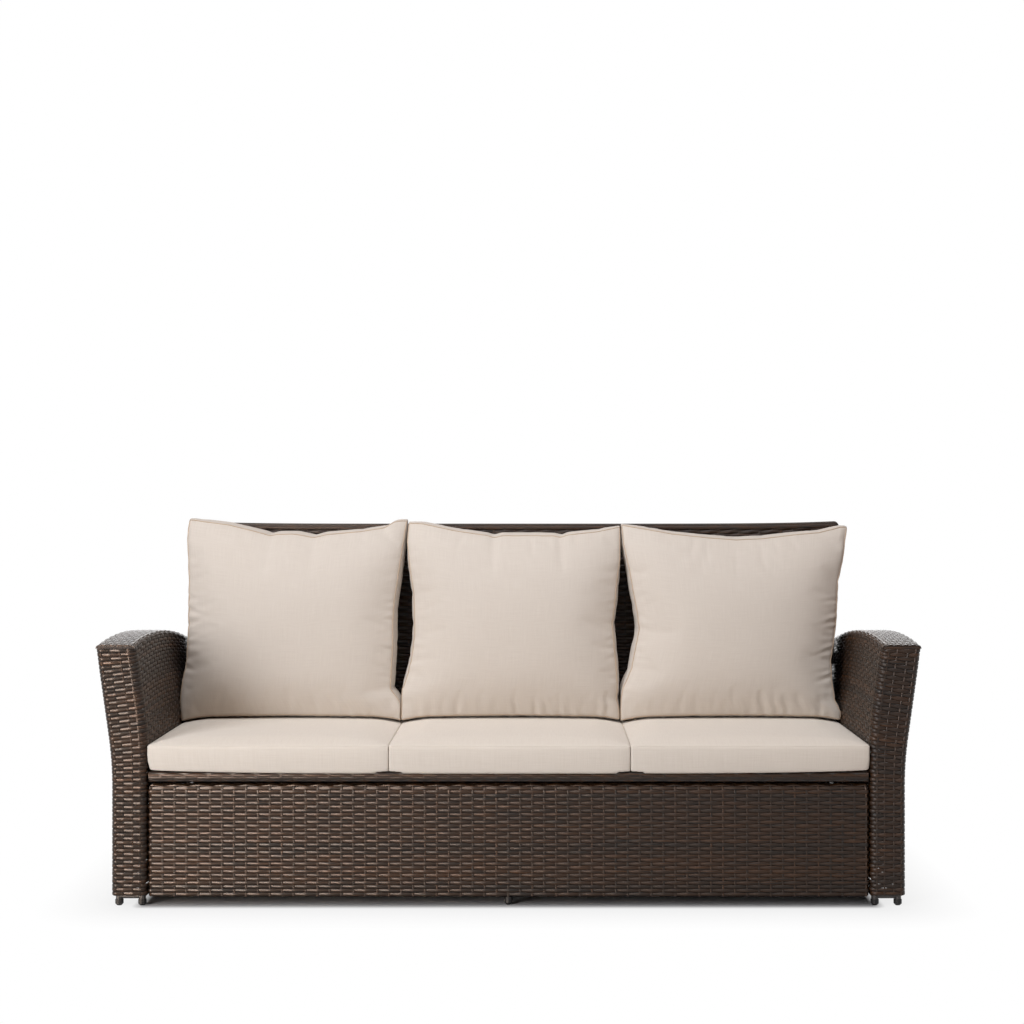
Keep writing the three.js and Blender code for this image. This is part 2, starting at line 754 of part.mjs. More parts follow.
// One bolt for every hole in the brackets and in the leg's plate.
function bolts() {
  const group = new THREE.Group();
  const solid = boltSolid();
  const add = (name, place) => {
    const bolt = piece(name, solid, zincSteel);
    bolt.position.set(...place.head);
    bolt.quaternion.setFromUnitVectors(new THREE.Vector3(0, 0, 1), place.along);
    group.add(bolt);
  };
  const rows = {
    skirt_bolt: skirtBoltPlaces,
    deck_bolt: deckBoltPlaces,
    back_bolt: backBoltPlaces,
  };
  for (const [name, places] of Object.entries(rows)) {
    places.forEach((place, index) => {
      add(`${name}_right_${index + 1}`, place);
      add(`${name}_left_${index + 1}`, mirrored(place));
    });
  }
  legBoltPlaces.forEach((place, index) => add(`leg_bolt_${index + 1}`, place));
  return group;
}

// Cushion: two crowned faces whose outline is drawn in between the corners, and a boxing strip
// that narrows towards the corners. Local axes: x across, z up its height, y through it.
const padSteps = 12;

function crownAt(u, v, fullness) {
  return ((1 - u * u) * (1 - v * v)) ** fullness;
}

function padGeometry({ baseWidth, topWidth, height, pinch, sag, rim, cornerRims, crowns, fullness }) {
  const outlineAt = (u, v) => {
    const half = between(baseWidth, topWidth, (v + 1) / 2) / 2;
    const drop = v > 0 ? sag : 0;
    return [u * (half - pinch * (1 - v * v)), v * (height / 2 - drop * (1 - u * u))];
  };
  const rimAt = (u, v) => {
    const corner = v > 0 ? cornerRims.top : cornerRims.base;
    return rim + (corner - rim) * u ** 4 * v ** 4;
  };
  const points = [];
  const triangles = [];
  const steps = Array.from({ length: padSteps + 1 }, (_, i) => -Math.cos((i / padSteps) * Math.PI));
  const row = padSteps + 1;
  for (const [sign, crown] of [
    [-1, crowns.front],
    [1, crowns.rear],
  ]) {
    for (const v of steps) {
      for (const u of steps) {
        const [x, z] = outlineAt(u, v);
        points.push(x, sign * (rimAt(u, v) / 2 + crown * crownAt(u, v, fullness)), z);
      }
    }
  }
  const index = (side, i, j) => side * row * row + j * row + i;
  for (let j = 0; j < padSteps; j++) {
    for (let i = 0; i < padSteps; i++) {
      const corners = [
        [i, j],
        [i + 1, j],
        [i + 1, j + 1],
        [i, j + 1],
      ];
      const [a, b, c, d] = corners.map((corner) => index(0, ...corner));
      triangles.push(a, b, c, a, c, d);
      const [e, f, g, h] = corners.map((corner) => index(1, ...corner));
      triangles.push(e, g, f, e, h, g);
    }
  }
  const edge = [];
  for (let i = 0; i < padSteps; i++) edge.push([i, 0]);
  for (let j = 0; j < padSteps; j++) edge.push([padSteps, j]);
  for (let i = padSteps; i > 0; i--) edge.push([i, padSteps]);
  for (let j = padSteps; j > 0; j--) edge.push([0, j]);
  edge.forEach((corner, k) => {
    const next = edge[(k + 1) % edge.length];
    const [a, b] = [index(0, ...corner), index(0, ...next)];
    const [c, d] = [index(1, ...corner), index(1, ...next)];
    triangles.push(a, d, b, a, c, d);
  });
  const geometry = new THREE.BufferGeometry();
  geometry.setAttribute("position", new THREE.Float32BufferAttribute(points, 3));
  geometry.setIndex(triangles);
  geometry.computeVertexNormals();
  return geometry;
}

// Every corner point of a geometry, as a list of vectors.
function pointsOf(geometry) {
  const position = geometry.attributes.position;
  return Array.from({ length: position.count }, (_, i) =>
    new THREE.Vector3().fromBufferAttribute(position, i),
  );
}

// Seat cushions: flat boxed pads, three abreast on the deck.
const padCount = 3;
const padNames = ["left", "middle", "right"];
const seatPadSetback = 2;
const seatPadWidth = (2 * panelHalf) / padCount - padGap;
const seatPadPitch = seatPadWidth + padGap;
const seatPadPinch = 3;
const seatPadDepth = backFaceAt(deckHeight) - seatPadSetback - padGap;
const seatPadFullness = 0.5;
const seatPadBase = deckHeight + fitGap;
const padPlace = (index) => index - (padCount - 1) / 2;
const seatPadCentre = seatPadSetback + seatPadDepth / 2;

function seatCushion(index) {
  const geometry = padGeometry({
    baseWidth: seatPadWidth,
    topWidth: seatPadWidth,
    height: seatPadDepth,
    pinch: seatPadPinch,
    sag: 0,
    rim: seatPadThickness,
    cornerRims: { top: seatPadThickness, base: seatPadThickness },
    crowns: { front: 0, rear: seatPadCrown },
    fullness: seatPadFullness,
  });
  geometry.rotateX(Math.PI / 2);
  const cushion = piece(`seat_cushion_${padNames[index]}`, geometry, canvas);
  cushion.position.set(
    padPlace(index) * seatPadPitch,
    seatPadCentre,
    seatPadBase + seatPadThickness / 2,
  );
  return cushion;
}

// The top surface of the seat cushions, or nothing in front of and behind them.
function seatTopAt(x, y) {
  const nearest = Math.round(THREE.MathUtils.clamp(x / seatPadPitch, -1, 1)) * seatPadPitch;
  const u = THREE.MathUtils.clamp((x - nearest) / (seatPadWidth / 2), -1, 1);
  const v = (y - seatPadCentre) / (seatPadDepth / 2);
  if (Math.abs(v) > 1) return 0;
  return seatPadBase + seatPadThickness + seatPadCrown * crownAt(u, v, seatPadFullness);
}

// Back cushions: plump boxed pillows that stand on the seat cushions and slump back against the
// panel. Their bases stay level, so their lean is a shear; the outer two also spread outwards.
const backPadLeanShare = 0.27;
const backPadRim = 110;
const backPadCornerRims = { top: 44, base: 84 };
const backPadCrowns = { front: 60, rear: 45 };
const backPadPinch = 20;
const backPadSag = 34;
const backPadFullness = 0.62;
const backPadBaseWidth = seatPadWidth;

function backCushion(index) {
  const geometry = padGeometry({
    baseWidth: backPadBaseWidth,
    topWidth: backPadTopWidth,
    height: backPadHeight,
    pinch: backPadPinch,
    sag: backPadSag,
    rim: backPadRim,
    cornerRims: backPadCornerRims,
    crowns: backPadCrowns,
    fullness: backPadFullness,
  });
  geometry.translate(0, 0, backPadHeight / 2);
  const spread = ((backPadTopWidth - backPadBaseWidth) / backPadHeight) * padPlace(index);
  geometry.applyMatrix4(new THREE.Matrix4().makeShear(0, 0, 0, 0, spread, backPadLeanShare));
  geometry.translate(padPlace(index) * seatPadPitch, 0, 0);
  const base = seatPadBase + seatPadThickness + seatPadCrown;
  const room = (point) => backFaceAt(base + point.z) - point.y;
  const back = Math.min(...pointsOf(geometry).map(room)) - fitGap;
  geometry.translate(0, back, 0);
  const drop = (point) => base + point.z - seatTopAt(point.x, point.y);
  const rest = Math.min(...pointsOf(geometry).map(drop)) - fitGap;
  geometry.translate(0, -rest * leanShare, base - rest);
  return piece(`back_cushion_${padNames[index]}`, geometry, canvas);
}

// The whole sofa, centred on its footprint.
const sofa = new THREE.Group();
const backRearEdge =
  backFootSetback + backTop * Math.sin(backLean) + (backThickness / 2) * Math.cos(backLean);
const overallDepth = Math.max(armDepth, backRearEdge);
sofa.position.y = -overallDepth / 2;
sofa.add(arm("left"), arm("right"), skirt(), back(), seat(), bolts());
for (let index = 0; index < padCount; index++) {
  sofa.add(seatCushion(index), backCushion(index));
}

export default sofa;
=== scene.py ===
# Three-seat garden sofa in woven resin wicker, with six loose cushions.
# Metres, +Z up. The front faces -Y, and left is -X, as the front view shows it.
import math

import bmesh
import bpy
import numpy as np
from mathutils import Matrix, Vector
from mathutils.bvhtree import BVHTree


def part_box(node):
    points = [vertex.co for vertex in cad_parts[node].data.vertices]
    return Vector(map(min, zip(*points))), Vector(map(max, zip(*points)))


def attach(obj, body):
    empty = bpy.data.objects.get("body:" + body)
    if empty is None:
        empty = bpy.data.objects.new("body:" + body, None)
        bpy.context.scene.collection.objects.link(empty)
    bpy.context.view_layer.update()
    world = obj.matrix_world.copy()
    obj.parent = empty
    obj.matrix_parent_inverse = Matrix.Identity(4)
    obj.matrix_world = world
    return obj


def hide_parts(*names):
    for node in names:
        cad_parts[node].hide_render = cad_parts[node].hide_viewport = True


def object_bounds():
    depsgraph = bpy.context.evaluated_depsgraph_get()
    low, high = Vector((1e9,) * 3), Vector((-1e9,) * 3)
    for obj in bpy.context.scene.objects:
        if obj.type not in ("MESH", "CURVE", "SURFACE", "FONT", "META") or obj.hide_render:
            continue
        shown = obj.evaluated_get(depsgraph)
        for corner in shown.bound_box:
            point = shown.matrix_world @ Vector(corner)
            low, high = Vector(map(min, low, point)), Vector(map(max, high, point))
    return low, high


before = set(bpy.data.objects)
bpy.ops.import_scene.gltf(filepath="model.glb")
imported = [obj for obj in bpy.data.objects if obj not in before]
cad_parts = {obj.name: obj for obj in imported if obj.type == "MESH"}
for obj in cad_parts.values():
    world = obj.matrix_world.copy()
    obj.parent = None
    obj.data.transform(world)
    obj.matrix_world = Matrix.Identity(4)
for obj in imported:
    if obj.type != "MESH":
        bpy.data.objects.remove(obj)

cad_box = [list(corner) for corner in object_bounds()]


# Frames: welded from steel tube, phosphated and sprayed with a dark brown powder coat, which
# cures to a satin skin with a fine orange peel. The arms' frames carry the other four.
def linear(hex_colour):
    """The linear colour of an sRGB hex value, as a shader's socket wants it."""
    parts = [int(hex_colour[i : i + 2], 16) / 255 for i in (1, 3, 5)]
    curve = [p / 12.92 if p <= 0.04045 else ((p + 0.055) / 1.055) ** 2.4 for p in parts]
    return (*curve, 1.0)


def feed(node, inputs):
    """Gives a node's inputs plain values or links. A node stands for its first output."""
    for key, value in inputs.items():
        if isinstance(value, bpy.types.Node):
            value = value.outputs[0]
        if isinstance(value, bpy.types.NodeSocket):
            node.id_data.links.new(value, node.inputs[key])
        else:
            node.inputs[key].default_value = value


def add_node(tree, kind, inputs=None, **settings):
    """Adds a node with its settings, its plain values and its links."""
    made = tree.nodes.new(kind)
    for name, value in settings.items():
        setattr(made, name, value)
    feed(made, inputs or {})
    return made


def new_material(name):
    """A new material, with its node tree and its shader."""
    material = bpy.data.materials.new(name)
    material.use_nodes = True
    return material, material.node_tree, material.node_tree.nodes["Principled BSDF"]


def set_ramp(node, shares, colours):
    """Gives a colour ramp's two ends their places and colours."""
    for element, share, colour in zip(node.color_ramp.elements, shares, colours):
        element.position = share
        element.color = linear(colour)


MOTTLE_SHARES = (0.3, 0.7)


def grained_material(name, colours, grain, bump, values):
    """A moulded, coated or plated surface: a mottle between two colours, and its bump.

    The grain is its size in metres, and the bump its depth.
    """
    material, tree, shader = new_material(name)
    place = add_node(tree, "ShaderNodeTexCoord").outputs["Object"]
    mottle = add_node(
        tree, "ShaderNodeTexNoise", {"Vector": place, "Scale": 1 / grain, "Detail": 2.0}
    )
    ramp = add_node(tree, "ShaderNodeValToRGB", {0: mottle})
    set_ramp(ramp, MOTTLE_SHARES, colours)
    relief = add_node(
        tree, "ShaderNodeBump", {"Height": mottle, "Strength": 0.5, "Distance": bump}
    )
    feed(shader, {"Base Color": ramp, "Normal": relief} | values)
    return material


def dress(nodes, material):
    """Gives CAD nodes their material."""
    for node in nodes:
        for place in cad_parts[node].material_slots:
            place.material = material


# The orange peel's waves are 1.5 mm long, and are drawn 4 mm long so that they show.
powder_coat = grained_material(
    "Polyester powder coat, sprayed",
    colours=("#1f1a17", "#28211d"),
    grain=0.004,
    bump=0.0002,
    values={"Roughness": 0.42, "IOR": 1.5},
)
welded = [f"{word}_frame" for word in ("left_arm", "right_arm", "back", "skirt", "seat")]
dress([*welded, "centre_leg"], powder_coat)


# Glides: black polypropylene, moulded as plugs that are pushed into the posts' ends. The mould is
# spark-eroded, so they are even and matt, with a fine grain.
glide_plastic = grained_material(
    "Polypropylene, moulded",
    colours=("#0a0a0a", "#151413"),
    grain=0.0012,
    bump=0.0001,
    values={"Roughness": 0.5, "IOR": 1.49, "Specular IOR Level": 0.3},
)
dress([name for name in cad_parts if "glide" in name], glide_plastic)


# Bolts: steel hexagon bolts that hold the panels to the arms' frames, zinc plated and clear
# passivated, so they are bright, bluish and slightly cloudy.
zinc_plate = grained_material(
    "Steel bolt, zinc plated",
    colours=("#a9adb2", "#cdd0d3"),
    grain=0.003,
    bump=0.00005,
    values={"Roughness": 0.32, "Metallic": 1.0},
)
dress([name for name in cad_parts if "bolt" in name], zinc_plate)


# Weaving. The cladding is woven by hand from extruded polyethylene strand, over the panels'
# tube frames: flat strands run sideways, outside and inside of upright stakes by turns. One
# Geometry Nodes tree weaves every mat flat and lays it on a guide.
STRAND_SPACING = 0.0089
STAKE_SPACING = 0.0277
# A cover is the share of its spacing that a strand or a stake fills.
STRAND_COVER = 1.0
STRAND_THICKNESS = 0.0024
CRIMP = 0.0019
STAKE_COVER = 0.17
STAKE_THICKNESS = 0.0018
STEPS_PER_STAKE = 4
# How far a strand's points crowd at the stakes, and how straight it runs between them, up to 1.
CROWDING = 0.6
BEND_SHARPNESS = 0.95
STRAND_SIDES = 5
STAKE_SIDES = 4
# A five-sided ring is turned so that one side faces outwards, and then reaches this far sideways,
# and this far through.
FIVE_SIDE_TURN = math.radians(234)
FIVE_SIDE_REACH = math.cos(math.radians(18))
FIVE_SIDE_DEPTH = 1 + math.cos(math.radians(36))
# A guide reaches this share of its length past the mat at each open end.
GUIDE_MARGIN = 0.02
CRISP_EDGE = math.radians(50)

WEAVE_INPUTS = {
    "Guide": "Object",
    "Strands": "Int",
    "Stake spaces": "Int",
    "Stakes": "Int",
    "First stake": "Int",
    "Steps per stake": "Int",
    "Stake steps": "Int",
    "Strand cover": "Float",
    "Strand thickness": "Float",
    "Crimp": "Float",
    "Stake cover": "Float",
    "Stake thickness": "Float",
    "Seed": "Int",
    "Material": "Material",
}

# Sums of the flat mat, where x counts stakes, y counts strands and z is metres. A strand's
# points crowd at the stakes, and it runs straight from the outside of one to the inside of the
# next.
WEAVE_SUMS = (
    ("samples less one", "MULTIPLY", "Stake spaces", "Steps per stake"),
    ("samples", "ADD", "samples less one", 1),
    ("stake samples", "ADD", "Stake steps", 1),
    ("whole turns", "MULTIPLY", "x", 2 * math.pi),
    ("crowd wave", "SINE", "whole turns"),
    ("crowd shift", "MULTIPLY", "crowd wave", CROWDING / (2 * math.pi)),
    ("crowded x", "SUBTRACT", "x", "crowd shift"),
    ("x and y", "ADD", "crowded x", "y"),
    ("over or under", "SUBTRACT", "x and y", 0.5),
    ("half turns", "MULTIPLY", "over or under", math.pi),
    ("wave", "COSINE", "half turns"),
    ("softened wave", "MULTIPLY", "wave", BEND_SHARPNESS),
    ("zigzag", "ARCSINE", "softened wave"),
    ("zigzag share", "MULTIPLY", "zigzag", 1 / math.asin(BEND_SHARPNESS)),
    ("lift", "MULTIPLY", "zigzag share", "Crimp"),
    ("in row", "FRACT", "y"),
    ("from stake", "WRAP", "x", 0.5, -0.5),
    ("strand along", "MULTIPLY", "x", STAKE_SPACING),
    ("strand across", "MULTIPLY", "in row", STRAND_SPACING),
    ("stake along", "MULTIPLY", "y", STRAND_SPACING),
    ("stake across", "MULTIPLY", "from stake", STAKE_SPACING),
    ("strand wide", "MULTIPLY", "Strand cover", 0.5 / FIVE_SIDE_REACH),
    ("strand thick", "MULTIPLY", "Strand thickness", 1 / FIVE_SIDE_DEPTH),
    ("stake wide", "MULTIPLY", "Stake cover", 0.5),
    ("stake thick", "MULTIPLY", "Stake thickness", 0.5),
    ("across share", "DIVIDE", "x", "Stake spaces"),
    ("up share", "DIVIDE", "y", "Strands"),
    ("stake seed", "ADD", "Seed", 7),
)


def weave_tree():
    """Strands and stakes woven flat, then laid on the guide by its UV map."""
    tree = bpy.data.node_groups.new("Woven mat", "GeometryNodeTree")
    tree.interface.new_socket("Mat", in_out="OUTPUT", socket_type="NodeSocketGeometry")
    for name, kind in WEAVE_INPUTS.items():
        tree.interface.new_socket(name, in_out="INPUT", socket_type=f"NodeSocket{kind}")
    given = add_node(tree, "NodeGroupInput").outputs
    index = add_node(tree, "GeometryNodeInputIndex")
    place = add_node(tree, "GeometryNodeInputPosition")
    split = add_node(tree, "ShaderNodeSeparateXYZ", {0: place}).outputs
    known = {socket.name: socket for socket in given if socket.name}
    known |= {"x": split[0], "y": split[1], "z": split[2]}
    for name, operation, *terms in WEAVE_SUMS:
        inputs = {i: known.get(term, term) for i, term in enumerate(terms)}
        known[name] = add_node(tree, "ShaderNodeMath", inputs, operation=operation)

    def spread(count, start, step, end, samples, seed):
        """A row of straight curves, each with its own tone, as batches of strand have."""
        feet = add_node(tree, "GeometryNodeMeshLine", {"Count": count, 2: start, "Offset": step})
        line = add_node(tree, "GeometryNodeCurvePrimitiveLine", {"End": end})
        fine = add_node(tree, "GeometryNodeResampleCurve", {"Curve": line, "Count": samples})
        tone = add_node(
            tree, "FunctionNodeRandomValue", {"ID": index, "Seed": seed}, data_type="FLOAT"
        ).outputs[1]
        placed = add_node(tree, "GeometryNodeInstanceOnPoints", {"Points": feet, "Instance": fine})
        toned = add_node(
            tree,
            "GeometryNodeStoreNamedAttribute",
            {"Geometry": placed, "Name": "strand_tone", "Value": tone},
            domain="INSTANCE",
        )
        return add_node(tree, "GeometryNodeRealizeInstances", {0: toned})

    def swept(curve, word, sides, turn):
        """A curve given a flat section, and its lengthwise and sideways runs for the material."""
        names = ("wide", "thick", "along", "across")
        wide, thick, along, across = (known[f"{word} {name}"] for name in names)
        ring = add_node(
            tree, "GeometryNodeCurvePrimitiveCircle", {"Resolution": sides, "Radius": 1.0}
        )
        turned = add_node(
            tree, "GeometryNodeTransform", {"Geometry": ring, "Rotation": (0, 0, turn)}
        )
        size = add_node(tree, "ShaderNodeCombineXYZ", {0: wide, 1: thick, 2: 1.0})
        section = add_node(tree, "GeometryNodeTransform", {"Geometry": turned, "Scale": size})
        upright = add_node(tree, "GeometryNodeSetCurveNormal", {"Curve": curve}, mode="Z_UP")
        mesh = add_node(
            tree,
            "GeometryNodeCurveToMesh",
            {"Curve": upright, "Profile Curve": section, "Fill Caps": True},
        )
        tone = add_node(
            tree, "GeometryNodeInputNamedAttribute", {"Name": "strand_tone"}, data_type="FLOAT"
        )
        run = add_node(tree, "ShaderNodeCombineXYZ", {0: along, 1: across, 2: tone})
        return add_node(
            tree,
            "GeometryNodeStoreNamedAttribute",
            {"Geometry": mesh, "Name": "strand_place", "Value": run},
            data_type="FLOAT_VECTOR",
            domain="POINT",
        )

    row_end = add_node(tree, "ShaderNodeCombineXYZ", {0: known["Stake spaces"]})
    rows = spread(
        known["Strands"], (0, 0.5, 0), (0, 1, 0), row_end, known["samples"], known["Seed"]
    )
    path = add_node(
        tree, "ShaderNodeCombineXYZ", {0: known["crowded x"], 1: known["y"], 2: known["lift"]}
    )
    crimped = add_node(tree, "GeometryNodeSetPosition", {"Geometry": rows, "Position": path})
    strands = swept(crimped, "strand", STRAND_SIDES, FIVE_SIDE_TURN)
    stake_end = add_node(tree, "ShaderNodeCombineXYZ", {1: known["Strands"]})
    first = add_node(tree, "ShaderNodeCombineXYZ", {0: known["First stake"]})
    uprights = spread(
        known["Stakes"], first, (1, 0, 0), stake_end, known["stake samples"], known["stake seed"]
    )
    stakes = swept(uprights, "stake", STAKE_SIDES, 0.0)
    flat = add_node(tree, "GeometryNodeJoinGeometry")
    for part in (strands, stakes):
        feed(flat, {0: part})

    guide = add_node(tree, "GeometryNodeObjectInfo", {"Object": known["Guide"]})
    laid_uv = add_node(
        tree, "GeometryNodeInputNamedAttribute", {"Name": "laid"}, data_type="FLOAT_VECTOR"
    )
    wanted = add_node(
        tree, "ShaderNodeCombineXYZ", {0: known["across share"], 1: known["up share"]}
    )
    outwards = add_node(tree, "GeometryNodeInputNormal")
    on_guide, normal = (
        add_node(
            tree,
            "GeometryNodeSampleUVSurface",
            {
                "Mesh": guide.outputs["Geometry"],
                "Value": value,
                "UV Map": laid_uv,
                "Sample UV": wanted,
            },
            data_type="FLOAT_VECTOR",
        )
        for value in (place, outwards)
    )
    raised = add_node(
        tree, "ShaderNodeVectorMath", {0: normal, "Scale": known["z"]}, operation="SCALE"
    )
    target = add_node(tree, "ShaderNodeVectorMath", {0: on_guide, 1: raised})
    laid = add_node(tree, "GeometryNodeSetPosition", {"Geometry": flat, "Position": target})
    smooth = add_node(tree, "GeometryNodeSetShadeSmooth", {"Geometry": laid})
    # A strand's two long edges stay crisp, and its crown is smooth.
    angle = add_node(tree, "GeometryNodeInputMeshEdgeAngle")
    is_crisp = add_node(
        tree, "FunctionNodeCompare", {0: angle, 1: CRISP_EDGE}, operation="GREATER_THAN"
    )
    edged = add_node(
        tree,
        "GeometryNodeSetShadeSmooth",
        {"Geometry": smooth, "Selection": is_crisp, "Shade Smooth": False},
        domain="EDGE",
    )
    whole = add_node(tree, "GeometryNodeRealizeInstances", {0: edged})
    clad = add_node(
        tree, "GeometryNodeSetMaterial", {"Geometry": whole, "Material": known["Material"]}
    )
    add_node(tree, "NodeGroupOutput", {0: clad})
    return tree


weave = weave_tree()


def put(name, data):
    """A new object in the scene."""
    made = bpy.data.objects.new(name, data)
    bpy.context.collection.objects.link(made)
    return made


def widened(grid, places, closed):
    """A grid's rows and places with one more at each end, from round a loop or straight on."""
    if closed:
        before, after = grid[-2], grid[1]
        places = [places[-2] - 1, *places, places[1] + 1]
    else:
        before = grid[0] + (grid[0] - grid[1]) * GUIDE_MARGIN / (places[1] - places[0])
        after = grid[-1] + (grid[-1] - grid[-2]) * GUIDE_MARGIN / (places[-1] - places[-2])
        places = [-GUIDE_MARGIN, *places, 1 + GUIDE_MARGIN]
    return np.concatenate([before[None], grid, after[None]]), places


def guide_surface(grid, across, up, closed=True):
    """A smooth sheet through a grid of points, rows upwards, with its UV map."""
    grid, up = widened(np.array(grid), up, False)
    grid, across = widened(grid.transpose(1, 0, 2), across, closed)
    grid = grid.transpose(1, 0, 2)
    rows, columns = grid.shape[:2]
    corner = np.arange(rows * columns).reshape(rows, columns)
    faces = np.stack(
        [corner[:-1, :-1], corner[:-1, 1:], corner[1:, 1:], corner[1:, :-1]], axis=-1
    ).reshape(-1, 4)
    mesh = bpy.data.meshes.new("guide")
    mesh.from_pydata(grid.reshape(-1, 3).tolist(), [], faces.tolist())
    mesh.polygons.foreach_set("use_smooth", np.ones(len(faces), bool))
    u, v = np.meshgrid(across, up)
    uv = np.stack([u.ravel(), v.ravel()], axis=-1)[faces.ravel()]
    layer = mesh.uv_layers.new(name="laid")
    layer.data.foreach_set("uv", uv.ravel())
    return put("guide", mesh)


def applied(piece):
    """Swaps a piece's mesh for what its modifiers make of it."""
    graph = bpy.context.evaluated_depsgraph_get()
    mesh = bpy.data.meshes.new_from_object(
        piece.evaluated_get(graph), preserve_all_data_layers=True, depsgraph=graph
    )
    piece.modifiers.clear()
    piece.data = mesh


def shares_of(places):
    """Ordered places, as shares of the way from the first to the last."""
    places = np.array(places)
    return (places - places[0]) / (places[-1] - places[0])


def quarter_turn(steps):
    return np.linspace(0, math.pi / 2, steps)


def run_along(points):
    """How far each point of a line is along it."""
    steps = np.diff(np.array(points), axis=0)
    return np.concatenate([[0], np.cumsum(np.hypot(*steps.T))])


def woven(name, guide, strands, spaces, seed, closed=True, **changes):
    """Weaves one mat over a guide, closed round it or open at both ends, as a plain mesh."""
    mat = put(name, bpy.data.meshes.new(name))
    modifier = mat.modifiers.new("Weave", "NODES")
    modifier.node_group = weave
    values = {
        "Guide": guide,
        "Strands": strands,
        "Stake spaces": spaces,
        "Stakes": spaces if closed else spaces - 1,
        "First stake": 0 if closed else 1,
        "Steps per stake": STEPS_PER_STAKE,
        "Stake steps": strands,
        "Strand cover": STRAND_COVER,
        "Strand thickness": STRAND_THICKNESS,
        "Crimp": CRIMP,
        "Stake cover": STAKE_COVER,
        "Stake thickness": STAKE_THICKNESS,
        "Seed": seed,
        "Material": wicker,
    } | changes
    for socket in weave.interface.items_tree:
        if socket.in_out == "INPUT":
            modifier[socket.identifier] = values[socket.name]
    applied(mat)
    bpy.data.objects.remove(guide)
    return mat


# A strand's pattern repeats this often to the metre along it and across it, and to a tone.
STREAK_SCALES = (12.0, 900.0, 60.0)


def wicker_material():
    """Polyethylene strand, extruded from a swirl of two browns, with a satin skin.

    The browns run along a strand for some 80 mm, in streaks about 1 mm wide, and every strand of
    the coil has its own tone. The skin has a faint bloom at a grazing view.
    """
    material, tree, shader = new_material("Polyethylene wicker strand, extruded")
    place = add_node(tree, "ShaderNodeAttribute", attribute_name="strand_place").outputs["Vector"]
    tone = add_node(tree, "ShaderNodeSeparateXYZ", {0: place}).outputs[2]
    along = add_node(tree, "ShaderNodeMapping", {"Vector": place, "Scale": STREAK_SCALES})
    streaks = add_node(tree, "ShaderNodeTexNoise", {"Vector": along, "Scale": 1.0, "Detail": 3.0})
    body = add_node(tree, "ShaderNodeValToRGB", {0: streaks})
    tones = add_node(tree, "ShaderNodeValToRGB", {0: tone})
    set_ramp(body, (0.36, 0.66), ("#0e0905", "#472f18"))
    set_ramp(tones, (0.0, 1.0), ("#a89f95", "#ffebd6"))
    colour = add_node(
        tree, "ShaderNodeMix", {0: 1.0, 6: body, 7: tones}, data_type="RGBA", blend_type="MULTIPLY"
    ).outputs[2]
    relief = add_node(
        tree, "ShaderNodeBump", {"Height": streaks, "Strength": 0.25, "Distance": 0.0003}
    )
    feed(shader, {"Base Color": colour, "Normal": relief, "Roughness": 0.42, "IOR": 1.52})
    feed(shader, {"Specular IOR Level": 0.27, "Sheen Weight": 0.05, "Sheen Roughness": 0.3})
    return material


wicker = wicker_material()


# Front skirt: an upright panel between the arms, woven right round its frame of steel tube, with
# the stakes carried over the top rail. It is bolted to brackets on the arms.
# The mats' middles lie this far inside the panels' faces.
GUIDE_INSET = 0.0018
ARC_STEPS = 4
# Points closer together than this count as one.
SAME_POINT = 0.0001
UPRIGHT_ROWS = 40
OVER_ROWS = 9
# A rounded top is drawn in by this share of its half width.
TOP_CLOSING = 0.98
# A panel's two thin ends are one space between stakes each.
END_SPACES = 1


def loop_plan(stakes, size, radius):
    """Where each stake comes round an upright box's plan, with the box's corners rounded.

    A stake is a number, a side from the front (0) anticlockwise, and a share of that side's
    straight part. Returns rows of number and share across, share from front to rear.
    """
    width, depth = size
    lengths = (width, depth, width, depth)
    corners = ((0, 0), (width, 0), (width, depth), (0, depth))
    ways = ((1, 0), (0, 1), (-1, 0), (0, -1))
    plan = []

    def add(number, side, along, angle=None):
        corner, way = corners[side], ways[side]
        turned = ways[(side + 1) % 4]
        if angle is None:
            x, y = (corner[i] + way[i] * along for i in (0, 1))
        else:
            ahead = corners[(side + 1) % 4]
            x, y = (
                ahead[i]
                + radius * (turned[i] * (1 - math.cos(angle)) - way[i] * (1 - math.sin(angle)))
                for i in (0, 1)
            )
        plan.append((number, x / width, y / depth))

    for here, ahead in zip(stakes, stakes[1:]):
        number, side, share = here
        straight = lengths[side] - 2 * radius
        add(number, side, radius + share * straight)
        if ahead[1] == side:
            continue
        before = (1 - share) * straight
        arc = radius * math.pi / 2
        after = ahead[2] * (lengths[ahead[1]] - 2 * radius)
        spaces = (ahead[0] - number) / (before + arc + after)
        for angle in quarter_turn(ARC_STEPS + 1):
            run = before + arc * angle / (math.pi / 2)
            if SAME_POINT < run < before + arc + after - SAME_POINT:
                add(number + run * spaces, side, None, angle)
    number, side, share = stakes[-1]
    add(number, side, radius + share * (lengths[side] - 2 * radius))
    return plan


def box_stakes(front_spaces):
    """Even stakes round a thin panel, from the middle of its rear and back to it.

    The ends' middles are among them, so that each corner has its own arc.
    """
    half = front_spaces // 2
    end = END_SPACES / 2
    spaces = (0, half, end, end, front_spaces, end, end, front_spaces - half)
    places = ((2, 0.5), (2, 1.0), (3, 0.5), (0, 0.0), (0, 1.0), (1, 0.5), (2, 0.0), (2, 0.5))
    return [(float(number), *place) for number, place in zip(np.cumsum(spaces), places)]


